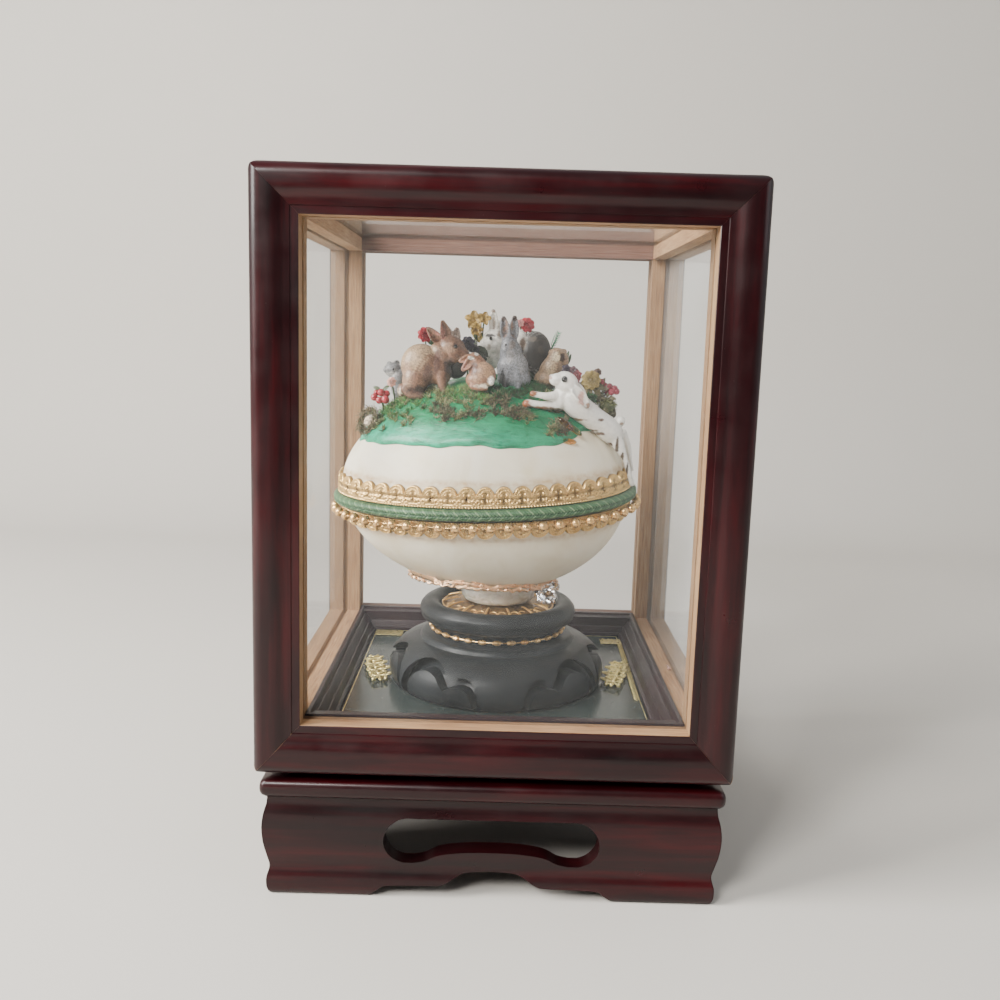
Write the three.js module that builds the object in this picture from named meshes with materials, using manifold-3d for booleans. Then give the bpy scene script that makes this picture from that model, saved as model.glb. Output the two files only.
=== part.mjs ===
// A whole egg dressed with trims and a spring scene, lying on a carved stand
// inside a small glass display case that rests on a moulded base.
// Millimetres, +Z up. The front faces -Y. The origin is under the middle of the feet.
import * as THREE from 'three';
import { mergeVertices } from 'three/addons/utils/BufferGeometryUtils.js';
import Module from 'manifold-3d';

const wasm = await Module();
wasm.setup();

const SIDES = [-1, 1];
const GAP = 0.3;

// Case frame
const CASE_HALF = 99.4;
const CASE_BOTTOM = 55.3;
const CASE_TOP = 299.5;
const MEMBER = 19.4;
const SILL_HEIGHT = 21.3;
const MEMBER_ROUND = 5;
const STEP_WIDE = 3.2;
const STEP_DEEP = 1;
const MITRE_GAP = 0.2;
const WINDOW_HALF = CASE_HALF - MEMBER;
const WINDOW_BOTTOM = CASE_BOTTOM + SILL_HEIGHT;
const WINDOW_TOP = CASE_TOP - MEMBER;

// Glass panes in the frame's grooves
const GLASS_DEPTH = 11.2;
const GLASS_THICK = 2;
const GROOVE_WIDE = GLASS_THICK + 2 * GAP;
const GROOVE_DEEP = 3;
const PANE_TUCK = GROOVE_DEEP - GAP;

// Base
const BOARD_HALF = 97.3;
const BOARD_LOW = 44.5;
const BOARD_TOP = 52;
const BOARD_STEP_HALF = 88;
const APRON_TOP = BOARD_LOW - GAP;
const APRON_BACK = 86;
const FOOT_RISE = 5.8;
const ARCH_RISE = 12.3;

// Floor of the case
const FLOOR_HALF = 79.5;
const FLOOR_TOP = 61;
const TRAY_BOTTOM = FLOOR_TOP + GAP;
const PANEL_TOP = 66.5;
const PANEL_HALF_X = 70.4;
const PANEL_HALF_Y = 76.4;

// Carved stand
const STAND_FOOT = PANEL_TOP + GAP;
const STAND_RADIUS = 54.2;
const STAND_SEGMENTS = 20;
const NECK_LOW = 91.2;
const RIM_RADIUS = 33.7;
const RIM_TUBE = 5.2;
const RIM_HEIGHT = 102.6;
const DISH_FLOOR = 101.5;
const CARVING_COUNT = 6;
const CARVING_FLOOR = 46;
const CUSHION_DEPTH = 0.8;
const NECK_BEADS = 15;
const NECK_BEAD_RING = 32.8;
const NECK_BEAD_HEIGHT = 94;

// Egg, lying along X, blunter at +X
const EGG_X = -8;
const EGG_Z = 163.1;
const EGG_LONG = 69.6;
const EGG_WIDE = 49.7;
const EGG_BLUNT = 0.057;

// The trims lie on a plane that tilts to the left and to the front
const GIRTH_Z = 156.4;
const GIRTH_SLOPE_X = 0.048;
const GIRTH_SLOPE_Y = 0.065;
const GIRTH_STEPS = 28;
const EGG_AROUND = 26;
const EGG_ALONG = 16;

// Painted hill over the egg's top
const HILL_X = -9;
const HILL_HALF = 60;
const HILL_REACH = THREE.MathUtils.degToRad(62);
const HILL_SQUARENESS = 2.6;
const HILL_RIM = 1.2;
const HILL_DOME = 3.4;
const HILL_UNDER = 1.1;
const HILL_STEPS = 18;

const vec = (x, y, z) => new THREE.Vector3(x, y, z);
const radians = THREE.MathUtils.degToRad;

function paint(color, roughness, metalness = 0, more = {}) {
  return new THREE.MeshStandardMaterial({ color, roughness, metalness, ...more });
}

const lacquerRed = paint(0x4a0c14, 0.3);
const rawWood = paint(0xb4906c, 0.8);
const clearGlass = paint(0xdfe8e6, 0.05, 0, { transparent: true, opacity: 0.25 });
const lacquerBlack = paint(0x2a2628, 0.4);
const panelGreen = paint(0x56605c, 0.25);
const gold = paint(0xc9a24e, 0.35, 0.9);
const paleStone = paint(0xd9d4c6, 0.4);
const crystalClear = paint(0xe8eef0, 0.05);
const eggshell = paint(0xe6dfcc, 0.7);
const cordGreen = paint(0x3f5f4c, 0.8);
const hillPaint = paint(0x2d8f64, 0.35);
const furBrown = paint(0x8b6a4c, 0.7);
const furRusty = paint(0x8f5f42, 0.7);
const furDark = paint(0x4a4038, 0.7);
const furGrey = paint(0x6c6a70, 0.7);
const furTan = paint(0xa98a6a, 0.7);
const whiteGlaze = paint(0xe9e6dc, 0.3);
const petalRed = paint(0xb3202c, 0.5);
const petalYellow = paint(0xd9b23a, 0.5);
const petalDark = paint(0x3a3640, 0.5);

const part = new THREE.Group();

// Turns a triangle soup the right way out and gives it merged points
function outward(geometry) {
  const plain = geometry.clone();
  plain.deleteAttribute('normal');
  plain.deleteAttribute('uv');
  const merged = mergeVertices(plain, 1e-4);
  const at = merged.getAttribute('position');
  const index = merged.index.array;
  const [a, b, c] = [vec(0, 0, 0), vec(0, 0, 0), vec(0, 0, 0)];
  let volume = 0;
  for (let k = 0; k < index.length; k += 3) {
    a.fromBufferAttribute(at, index[k]);
    b.fromBufferAttribute(at, index[k + 1]);
    c.fromBufferAttribute(at, index[k + 2]);
    volume += a.dot(b.cross(c));
  }
  if (volume < 0) {
    for (let k = 0; k < index.length; k += 3) {
      [index[k], index[k + 1]] = [index[k + 1], index[k]];
    }
  }
  return merged;
}

function solid(geometry) {
  const merged = outward(geometry);
  const vertProperties = new Float32Array(merged.getAttribute('position').array);
  const triVerts = new Uint32Array(merged.index.array);
  return new wasm.Manifold(new wasm.Mesh({ numProp: 3, vertProperties, triVerts }));
}

function geometryOf(manifold) {
  const mesh = manifold.getMesh();
  const geometry = new THREE.BufferGeometry();
  geometry.setAttribute('position', new THREE.BufferAttribute(mesh.vertProperties, 3));
  geometry.setIndex(new THREE.BufferAttribute(mesh.triVerts, 1));
  return geometry;
}

function add(name, shape, material) {
  const geometry = shape.isBufferGeometry ? outward(shape) : geometryOf(shape);
  geometry.computeVertexNormals();
  const mesh = new THREE.Mesh(geometry, material);
  mesh.name = name;
  part.add(mesh);
}

// Skins a run of rings that have the same number of points
function loft(rings, loop = false) {
  const count = rings[0].length;
  const faces = [];
  const bands = loop ? rings.length : rings.length - 1;
  for (let k = 0; k < bands; k += 1) {
    const a = k * count;
    const b = ((k + 1) % rings.length) * count;
    for (let i = 0; i < count; i += 1) {
      const j = (i + 1) % count;
      faces.push(a + i, a + j, b + j, a + i, b + j, b + i);
    }
  }
  if (!loop) {
    const last = (rings.length - 1) * count;
    for (let i = 1; i < count - 1; i += 1) {
      faces.push(0, i + 1, i, last, last + i, last + i + 1);
    }
  }
  const geometry = new THREE.BufferGeometry().setFromPoints(rings.flat());
  geometry.setIndex(faces);
  return geometry;
}

function shapeOf(points) {
  return new THREE.Shape(points.map(([x, y]) => new THREE.Vector2(x, y)));
}

function extrude(points, depth) {
  return new THREE.ExtrudeGeometry(shapeOf(points), { depth, bevelEnabled: false });
}

function box(low, high) {
  const size = high.map((value, k) => value - low[k]);
  const middle = high.map((value, k) => (value + low[k]) / 2);
  return new THREE.BoxGeometry(...size).translate(...middle);
}

function place(geometry, xAxis, yAxis, zAxis, origin) {
  const frame = new THREE.Matrix4().makeBasis(xAxis, yAxis, zAxis).setPosition(origin);
  return geometry.applyMatrix4(frame);
}

function arc(cx, cy, radius, from, to, steps) {
  const points = [];
  for (let k = 0; k <= steps; k += 1) {
    const angle = radians(from + ((to - from) * k) / steps);
    points.push([cx + radius * Math.cos(angle), cy + radius * Math.sin(angle)]);
  }
  return points;
}

// A rounded rectangle's points as [x, y], with corners of a given radius
function roundedSquare(half, radius, steps = 2) {
  const inner = half - radius;
  return [
    ...arc(inner, inner, radius, 0, 90, steps),
    ...arc(-inner, inner, radius, 90, 180, steps),
    ...arc(-inner, -inner, radius, 180, 270, steps),
    ...arc(inner, -inner, radius, 270, 360, steps),
  ];
}

// Cross-section of a frame member. a runs in from its main face, b from its other face.
function memberSection(deepA, deepB, glazedB) {
  const grooveFrom = GLASS_DEPTH - GROOVE_WIDE / 2;
  const grooveTo = GLASS_DEPTH + GROOVE_WIDE / 2;
  const points = arc(MEMBER_ROUND, MEMBER_ROUND, MEMBER_ROUND, 270, 180, 3);
  points.push([0, deepB - STEP_WIDE], [STEP_DEEP, deepB - STEP_WIDE], [STEP_DEEP, deepB]);
  points.push([grooveFrom, deepB], [grooveFrom, deepB - GROOVE_DEEP]);
  points.push([grooveTo, deepB - GROOVE_DEEP], [grooveTo, deepB], [deepA, deepB]);
  if (glazedB) {
    points.push([deepA, grooveTo], [deepA - GROOVE_DEEP, grooveTo]);
    points.push([deepA - GROOVE_DEEP, grooveFrom], [deepA, grooveFrom]);
    points.push([deepA, STEP_DEEP], [deepA - STEP_WIDE, STEP_DEEP], [deepA - STEP_WIDE, 0]);
  } else {
    points.push([deepA, 0]);
  }
  return points;
}

// Trapezoid that a member keeps between its two mitres, as [depth, length] points
function mitreOutline(length, deep, startRatio, endRatio) {
  const far = deep + 1;
  return [
    [-1, MITRE_GAP - startRatio],
    [far, MITRE_GAP + far * startRatio],
    [far, length - MITRE_GAP - far * endRatio],
    [-1, length - MITRE_GAP + endRatio],
  ];
}

// A bar with both ends cut to fit two neighbours at right angles
function member(length, deepB, glazedB, ratiosA, ratiosB) {
  const bar = solid(extrude(memberSection(MEMBER, deepB, glazedB), length));
  const [x, y, z] = [vec(1, 0, 0), vec(0, 1, 0), vec(0, 0, 1)];
  const cutA = extrude(mitreOutline(length, MEMBER, ...ratiosA), deepB + 2);
  const cutB = extrude(mitreOutline(length, deepB, ...ratiosB), MEMBER + 2);
  place(cutA, x, z, y, vec(0, -1, 0));
  place(cutB, y, z, x, vec(-1, 0, 0));
  return geometryOf(bar.intersect(solid(cutA)).intersect(solid(cutB)));
}

function buildCaseFrame() {
  const tall = CASE_TOP - CASE_BOTTOM;
  const wide = 2 * CASE_HALF;
  const sill = SILL_HEIGHT / MEMBER;
  for (const sx of SIDES) {
    for (const sy of SIDES) {
      const post = member(tall, MEMBER, true, [sill, 1], [sill, 1]);
      const corner = vec(sx * CASE_HALF, sy * CASE_HALF, CASE_BOTTOM);
      place(post, vec(0, -sy, 0), vec(-sx, 0, 0), vec(0, 0, 1), corner);
      add(`case_post_${sy < 0 ? 'front' : 'back'}_${sx < 0 ? 'left' : 'right'}`, post, lacquerRed);
    }
  }
  for (const side of SIDES) {
    const levels = [
      ['top', CASE_TOP, vec(0, 0, -1), MEMBER, true, [1, 1]],
      ['bottom', CASE_BOTTOM, vec(0, 0, 1), SILL_HEIGHT, false, [1 / sill, 1 / sill]],
    ];
    for (const [level, height, inwards, deepB, glazed, ratios] of levels) {
      const along = member(wide, deepB, glazed, [1, 1], ratios);
      const across = along.clone();
      place(along, vec(0, -side, 0), inwards, vec(1, 0, 0), vec(-CASE_HALF, side * CASE_HALF, height));
      place(across, vec(-side, 0, 0), inwards, vec(0, 1, 0), vec(side * CASE_HALF, -CASE_HALF, height));
      add(`case_rail_${level}_${side < 0 ? 'front' : 'back'}`, along, lacquerRed);
      add(`case_rail_${level}_${side < 0 ? 'left' : 'right'}`, across, lacquerRed);
    }
  }
}

function buildGlass() {
  const half = WINDOW_HALF + PANE_TUCK;
  const low = WINDOW_BOTTOM - PANE_TUCK;
  const high = WINDOW_TOP + PANE_TUCK;
  const near = CASE_HALF - GLASS_DEPTH - GLASS_THICK / 2;
  const far = near + GLASS_THICK;
  add('glass_front', box([-half, -far, low], [half, -near, high]), clearGlass);
  add('glass_back', box([-half, near, low], [half, far, high]), clearGlass);
  add('glass_left', box([-far, -half, low], [-near, half, high]), clearGlass);
  add('glass_right', box([near, -half, low], [far, half, high]), clearGlass);
  const level = CASE_TOP - GLASS_DEPTH;
  const thick = GLASS_THICK / 2;
  add('glass_top', box([-half, -half, level - thick], [half, half, level + thick]), clearGlass);
}

// Top board with a rounded edge and the raised step that carries the case
function buildBaseBoard() {
  const levels = [
    [BOARD_LOW, BOARD_HALF - 2.2],
    [BOARD_LOW + 1.2, BOARD_HALF - 0.7],
    [BOARD_LOW + 3, BOARD_HALF],
    [BOARD_LOW + 5, BOARD_HALF],
    [BOARD_TOP - 0.8, BOARD_HALF - 0.5],
    [BOARD_TOP, BOARD_HALF - 1.4],
    [BOARD_TOP, BOARD_STEP_HALF],
    [CASE_BOTTOM - GAP, BOARD_STEP_HALF],
  ];
  const rings = levels.map(([z, half]) => roundedSquare(half, 2.5).map(([x, y]) => vec(x, y, z)));
  add('base_top_board', loft(rings), lacquerRed);
}

// The apron's moulded outside: half width of the base at each height
const OGEE = [
  [92.4, 0],
  [94, 1.2],
  [94.9, 4.5],
  [94.9, 8],
  [93.6, 12.6],
  [94.6, 17],
  [96, 24],
  [96.4, 31],
  [95.8, 36.5],
  [94.4, 41.5],
  [94.3, APRON_TOP],
];

// The apron's face: bracket feet, a low step and a central arch, cut from the lower edge
function apronFace() {
  const half = BOARD_HALF + 3;
  const right = [
    [8, ARCH_RISE],
    [12, ARCH_RISE - 0.7],
    [16, ARCH_RISE - 3],
    [19.5, FOOT_RISE + 0.9],
    [24, FOOT_RISE],
    [43.5, FOOT_RISE - 0.4],
    [47.5, 3.4],
    [51, 0.7],
    [53.5, -1],
  ];
  const left = right.map(([x, z]) => [-x, z]).reverse();
  return [[-half, -1], ...left, ...right, [half, -1], [half, APRON_TOP + 1], [-half, APRON_TOP + 1]];
}

// Slot with two round lobes and a raised lower edge between them
function slotOutline() {
  const radius = 10.4;
  const middle = 26.1;
  const lobe = 35;
  const right = arc(lobe, middle, radius, -90, 90, 6);
  const left = right.map(([x, z]) => [-x, z]).reverse();
  const arch = [
    [-28, middle - radius + 0.6],
    [-22, 20],
    [-12, 21.4],
    [0, 21.8],
    [12, 21.4],
    [22, 20],
    [28, middle - radius + 0.6],
  ];
  return [...right, ...left, ...arch];
}

function buildAprons() {
  const board = extrude([...OGEE, [APRON_BACK, APRON_TOP], [APRON_BACK, 0]], 2 * CASE_HALF);
  place(board, vec(0, -1, 0), vec(0, 0, 1), vec(1, 0, 0), vec(-CASE_HALF, 0, 0));
  const face = extrude(apronFace(), CASE_HALF);
  const slot = extrude(slotOutline(), CASE_HALF);
  for (const piece of [face, slot]) {
    place(piece, vec(1, 0, 0), vec(0, 0, 1), vec(0, -1, 0), vec(0, -1, 0));
  }
  const reach = CASE_HALF + 5;
  const wedge = [[0, -MITRE_GAP], [MITRE_GAP - reach, -reach], [reach - MITRE_GAP, -reach]];
  const mitre = extrude(wedge, APRON_TOP + 2).translate(0, 0, -1);
  const shaped = solid(board).intersect(solid(face)).intersect(solid(mitre));
  const apron = geometryOf(shaped.subtract(solid(slot)));
  ['front', 'right', 'back', 'left'].forEach((side, k) => {
    add(`base_apron_${side}`, apron.clone().rotateZ(radians(90 * k)), lacquerRed);
  });
}

function rectangleRing([halfX, halfY, z]) {
  return [vec(halfX, -halfY, z), vec(halfX, halfY, z), vec(-halfX, halfY, z), vec(-halfX, -halfY, z)];
}

// Floor board, the moulded tray frame whose flanges lie on the sills, and the panel in it
function buildFloor() {
  const boardLow = [-FLOOR_HALF, -FLOOR_HALF, CASE_BOTTOM + 0.1];
  add('floor_board', box(boardLow, [FLOOR_HALF, FLOOR_HALF, FLOOR_TOP]), rawWood);
  const flangeY = CASE_HALF - GLASS_DEPTH - GLASS_THICK / 2 - GAP;
  const flangeX = WINDOW_HALF - GAP;
  const flange = WINDOW_BOTTOM + GAP;
  const profile = [
    [flangeX, flangeY, flange],
    [flangeX, flangeY, flange + 0.9],
    [77.4, 84.6, flange + 0.9],
    [76.6, 82.6, 74.6],
    [73.6, 79.6, 71.6],
    [72.4, 78.4, 68],
    [PANEL_HALF_X, PANEL_HALF_Y, 67.4],
    [PANEL_HALF_X, PANEL_HALF_Y, TRAY_BOTTOM],
    [FLOOR_HALF, FLOOR_HALF, TRAY_BOTTOM],
    [FLOOR_HALF, FLOOR_HALF, flange - 0.2],
  ];
  add('tray_frame', loft(profile.map(rectangleRing), true), lacquerBlack);
  const low = [GAP - PANEL_HALF_X, GAP - PANEL_HALF_Y, TRAY_BOTTOM];
  const high = [PANEL_HALF_X - GAP, PANEL_HALF_Y - GAP, PANEL_TOP];
  add('tray_panel', box(low, high), panelGreen);
}

function lathe(profile, segments) {
  const points = profile.map(([radius, z]) => new THREE.Vector2(radius, z));
  return new THREE.LatheGeometry(points, segments).rotateX(Math.PI / 2);
}

// One cloud-shaped recess: a round arch with a lower lobe at one side
function cloudOutline(mirror) {
  const low = STAND_FOOT + 1.5;
  const points = [
    [-22, low],
    [-22.4, low + 5],
    [-19.8, low + 11.5],
    [-14.5, low + 16.4],
    [-8, low + 18.1],
    [-1, low + 16.8],
    [5.8, low + 12],
    [9, low + 13.2],
    [15, low + 13.2],
    [20, low + 8.5],
    [21, low],
  ];
  return points.map(([x, z]) => [mirror * x, z]);
}

// The raised cushion inside a recess, with the same round arch and lobe
function cushionOutline(mirror) {
  const low = STAND_FOOT + 1.5;
  const points = [
    [-18.4, low - 5],
    [-18.4, low + 5.4],
    [-14, low + 11.4],
    [-8, low + 13.2],
    [-2, low + 11.2],
    [3.4, low + 6.4],
    [11, low + 8.8],
    [16.8, low + 4],
    [16.8, low - 5],
  ];
  return points.map(([x, z]) => [mirror * x, z]);
}

function buildStand() {
  const bulge = [
    [STAND_RADIUS, STAND_FOOT + 6],
    [53.2, STAND_FOOT + 11],
    [49.5, STAND_FOOT + 16.5],
    [43.5, STAND_FOOT + 20.5],
  ];
  const profile = [
    [0, STAND_FOOT],
    [50.5, STAND_FOOT],
    [53, STAND_FOOT + 2.2],
    ...bulge,
    [37.5, STAND_FOOT + 22.3],
    [36, NECK_LOW],
    [31.5, NECK_LOW + 1],
    [30.8, NECK_LOW + 5.6],
    ...arc(RIM_RADIUS, RIM_HEIGHT, RIM_TUBE, -90, 180, 5),
    [RIM_RADIUS - RIM_TUBE, DISH_FLOOR],
    [0, DISH_FLOOR],
  ];
  let stand = solid(lathe(profile, STAND_SEGMENTS));
  const coreProfile = [[0, 0], [CARVING_FLOOR, 0], [CARVING_FLOOR, DISH_FLOOR], [0, DISH_FLOOR]];
  const core = solid(lathe(coreProfile, 12));
  const sunk = bulge.map(([radius, z]) => [radius - CUSHION_DEPTH, z]);
  const cushionProfile = [[0, STAND_FOOT - 2], [50, STAND_FOOT - 2], ...sunk, [0, STAND_FOOT + 20.5]];
  const cushions = solid(lathe(cushionProfile, STAND_SEGMENTS));
  for (let k = 0; k < CARVING_COUNT; k += 1) {
    const lean = k % 2 ? -1 : 7;
    const turn = radians((360 / CARVING_COUNT) * (k + 0.5) + lean);
    const [cut, cushion] = [cloudOutline, cushionOutline].map((outline) => {
      const block = extrude(outline(k % 2 ? 1 : -1), STAND_RADIUS + 5);
      return solid(place(block, vec(1, 0, 0), vec(0, 0, 1), vec(0, -1, 0), vec(0, 0, 0)).rotateZ(turn));
    });
    stand = stand.subtract(cut.subtract(core).subtract(cushion.intersect(cushions)));
  }
  add('stand_body', stand, lacquerBlack);
}

// Gold beads strung round the stand's neck, joined by their cord
function buildNeckBeads() {
  const rings = [];
  for (let k = 0; k < 2 * NECK_BEADS; k += 1) {
    const turn = (Math.PI * k) / NECK_BEADS;
    const fat = k % 2 ? 0.4 : 1.2;
    const ring = [[0, 1], [1, 0], [0, -1], [-1, 0]].map(([out, up]) => {
      const radius = NECK_BEAD_RING + out * fat;
      return vec(radius * Math.cos(turn), radius * Math.sin(turn), NECK_BEAD_HEIGHT + up * fat);
    });
    rings.push(ring);
  }
  add('stand_bead_chain', loft(rings, true), gold);
}

// Radius of the egg about its long axis at a place along it, from -1 to 1
function eggRadius(along, proud = 0) {
  return (EGG_WIDE + proud) * Math.sqrt(Math.max(0, 1 - along * along)) * (1 + EGG_BLUNT * along);
}

function eggGeometry(proud) {
  const profile = [];
  for (let k = 0; k <= EGG_ALONG; k += 1) {
    const along = -Math.cos((Math.PI * k) / EGG_ALONG);
    const radius = k === 0 || k === EGG_ALONG ? 0 : eggRadius(along, proud);
    profile.push(new THREE.Vector2(radius, along * (EGG_LONG + proud)));
  }
  const egg = new THREE.LatheGeometry(profile, EGG_AROUND).rotateZ(-Math.PI / 2);
  return egg.translate(EGG_X, 0, EGG_Z);
}

const eggClearance = solid(eggGeometry(GAP + 0.1));

// Point over the shell at an azimuth, a height above the tilted girth plane and a distance out
function girthPoint(azimuth, lift, proud) {
  const [cos, sin] = [Math.cos(azimuth), Math.sin(azimuth)];
  const [long, wide] = [EGG_LONG + proud, EGG_WIDE + proud];
  let latitude = 0;
  let point = vec(0, 0, 0);
  for (let k = 0; k < 12; k += 1) {
    const along = Math.cos(latitude) * cos;
    const swell = 1 + EGG_BLUNT * along;
    point = vec(EGG_X + long * along, wide * swell * Math.cos(latitude) * sin, 0);
    const height = GIRTH_Z + GIRTH_SLOPE_X * (point.x - EGG_X) + GIRTH_SLOPE_Y * point.y + lift;
    latitude = Math.asin((height - EGG_Z) / (wide * swell));
    point.z = height;
  }
  return point;
}

function girthBand(low, high, inner, outer) {
  const rings = [];
  for (let k = 0; k < GIRTH_STEPS; k += 1) {
    const azimuth = (2 * Math.PI * k) / GIRTH_STEPS;
    rings.push([
      girthPoint(azimuth, low, inner),
      girthPoint(azimuth, high, inner),
      girthPoint(azimuth, high, outer),
      girthPoint(azimuth, low, outer),
    ]);
  }
  return loft(rings, true);
}

function buildTrims() {
  add('braid_upper', girthBand(8, 17.8, 0.9, 2.4), gold);
  add('cord_green', girthBand(2, 7.5, 0.8, 4.4), cordGreen);
  add('bead_string', girthBand(-2.5, 1.5, 0.8, 7.4), gold);
  add('braid_lower', girthBand(-6.8, -3, 0.9, 2.6), gold);
}

// The egg's seat: a shallow gilt dish, a stone foot ring, a set stone and a gilt garland
function buildSeat() {
  const dishLow = DISH_FLOOR + GAP;
  const dish = [[0, dishLow], [20, dishLow], [27.8, 104.6], [27.6, 105.4], [18.5, 107], [0, 107]];
  add('egg_dish', lathe(dish, 18), gold);
  const ringLow = 107 + GAP;
  const ring = [
    [12, ringLow],
    [16.4, ringLow],
    [18.2, ringLow + 2.4],
    [18, ringLow + 6],
    [17, ringLow + 9.4],
    [12, ringLow + 9.4],
    [12, ringLow],
  ];
  const seat = solid(lathe(ring, 14)).subtract(eggClearance);
  add('egg_foot_ring', seat, paleStone);
  const stone = new THREE.OctahedronGeometry(5.6, 1).scale(1, 0.75, 0.68);
  add('rhinestone', stone.translate(23.4, -19, 113.9), crystalClear);
  const garland = [];
  const links = 18;
  for (let k = 0; k < links; k += 1) {
    const turn = (2 * Math.PI * k) / links;
    const drop = k % 2 ? 1.2 : -0.4;
    const centre = vec(EGG_X + 34.5 * Math.cos(turn), 26 * Math.sin(turn), 118.4 + drop);
    const out = vec(Math.cos(turn), Math.sin(turn), 0);
    garland.push([[0, 1.3], [1, 0], [0, -1.3], [-1, 0]].map(([side, up]) => (
      centre.clone().addScaledVector(out, side).add(vec(0, 0, up))
    )));
  }
  add('egg_garland', solid(loft(garland, true)).subtract(eggClearance), gold);
}

// Distance of the hill's outline from its middle in a direction, 1 at the long ends
function hillEdge(turn) {
  const power = HILL_SQUARENESS;
  return (Math.abs(Math.cos(turn)) ** power + Math.abs(Math.sin(turn)) ** power) ** (-1 / power);
}

// Thickness of the painted crust at a share of the way out, thinner at its edge
function hillThickness(reach, turn) {
  const dome = HILL_DOME * (1 - reach * reach);
  const lumps = 0.5 * Math.sin(3 * turn + 1) + 0.4 * Math.sin(7 * turn);
  return HILL_RIM + dome + (reach < 1 ? lumps * (1 - 0.5 * reach) : 0.2 * lumps);
}

function hillPoint(reach, turn, proud) {
  const edge = hillEdge(turn) * reach;
  const x = HILL_X + HILL_HALF * edge * Math.cos(turn);
  const roll = HILL_REACH * edge * Math.sin(turn);
  const along = (x - EGG_X) / EGG_LONG;
  const radius = eggRadius(along) + proud;
  const lean = proud * along * 0.8;
  return vec(x + lean, radius * Math.sin(roll), EGG_Z + radius * Math.cos(roll));
}

function hillGeometry(grow, under) {
  const rings = [];
  const ring = (reach, height) => {
    const points = [];
    for (let k = 0; k < HILL_STEPS; k += 1) {
      const turn = (2 * Math.PI * k) / HILL_STEPS;
      points.push(hillPoint(reach, turn, height(turn)));
    }
    rings.push(points);
  };
  for (const reach of [0.08, 0.36, 0.64, 0.86, 1]) {
    ring(reach, (turn) => hillThickness(reach, turn) + grow);
  }
  for (const reach of [1, 0.8, 0.55, 0.3, 0.08]) {
    ring(reach, () => under);
  }
  return loft(rings);
}

// Room kept clear for the hill and the shell under everything that sits on them
const hillClearance = solid(hillGeometry(GAP + 0.1, -12)).add(eggClearance);

function ball(x, y, z, rx, ry, rz, tilt = 0, turn = 0) {
  const fine = Math.max(rx, ry, rz) > 5;
  const geometry = new THREE.SphereGeometry(1, fine ? 7 : 6, fine ? 5 : 4).rotateX(Math.PI / 2);
  return geometry.scale(rx, ry, rz).rotateY(radians(tilt)).rotateZ(radians(turn)).translate(x, y, z);
}

// Joins round forms and seats them on the hill and the egg
function figure(name, material, balls, rods = []) {
  const forms = balls.map((values) => solid(ball(...values)));
  for (const [x, y, low, high, radius] of rods) {
    const rod = new THREE.CylinderGeometry(radius, radius, high - low, 6).rotateX(Math.PI / 2);
    forms.push(solid(rod.translate(x, y, (low + high) / 2)));
  }
  const joined = forms.reduce((sum, form) => sum.add(form));
  add(name, joined.subtract(hillClearance), material);
}

function buildAnimals() {
  figure('rabbit_brown', furBrown, [
    [-40.4, -13, 221, 9.8, 7.5, 10.6],
    [-42.5, -13, 213, 8.6, 7.5, 8],
    [-32, -14, 216, 6, 5.5, 9.5],
    [-29.5, -14.5, 225.5, 5.4, 4.6, 6],
    [-25.4, -16, 230.4, 6.8, 4.4, 4.8, 20],
    [-29.2, -14.5, 237, 1.9, 1.4, 6.2],
    [-31.4, -13.4, 235.4, 4.6, 1.5, 2.4, 40],
  ]);
  figure('rabbit_small_brown', furRusty, [
    [-10.6, -25, 217.5, 6.8, 6, 7.2],
    [-13.5, -20.5, 223.6, 4.2, 3.8, 3.6],
    [-17.2, -22.5, 224, 4.2, 1.4, 2, 20],
    [-6, -30.4, 215.6, 2, 1.8, 2],
  ]);
  figure('rabbit_white_brown', furDark, [
    [13, 5, 228, 8.2, 7, 10.8],
    [3, 4, 222, 9, 6, 8],
    [-4.6, 1, 231.5, 6.4, 5, 6],
    [-6.2, 2.5, 241.5, 1.7, 1.4, 7],
  ]);
  figure('rabbit_grey', furGrey, [
    [4.6, -12, 219.5, 7.6, 6, 9.6],
    [3, -12, 230.6, 4.2, 3.8, 5],
    [0.2, -11.2, 238.6, 1.9, 1.4, 7, -8],
    [4.6, -11.2, 238.8, 1.9, 1.4, 7, 8],
  ]);
  figure('rabbit_tan', furTan, [
    [22.6, -5, 221, 6, 5, 7, 30],
    [27.6, -5, 228.4, 4, 3.4, 3.8],
  ]);
  figure('rabbit_leaping', whiteGlaze, [
    [27.4, -29, 217, 6.8, 4.6, 5],
    [25.8, -27.5, 208.6, 6.6, 5.6, 7.4],
    [38.5, -21.8, 202.6, 12, 6, 6.3, 26, 22],
    [50, -16.5, 196, 7.6, 5.8, 7.4],
    [56.6, -14.5, 187.4, 4, 4.2, 8],
    [62.6, -15, 178, 2.3, 2.6, 8.6, -18],
    [35.4, -27, 210.4, 5.6, 1.6, 3, 35],
    [17, -29.5, 207.4, 8, 2, 2],
  ]);
  figure('animal_grey', furGrey, [
    [-54.6, 4, 218.4, 4.6, 3.2, 3.6],
    [-49.5, 4, 211, 4.6, 4, 8],
  ]);
}

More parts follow.
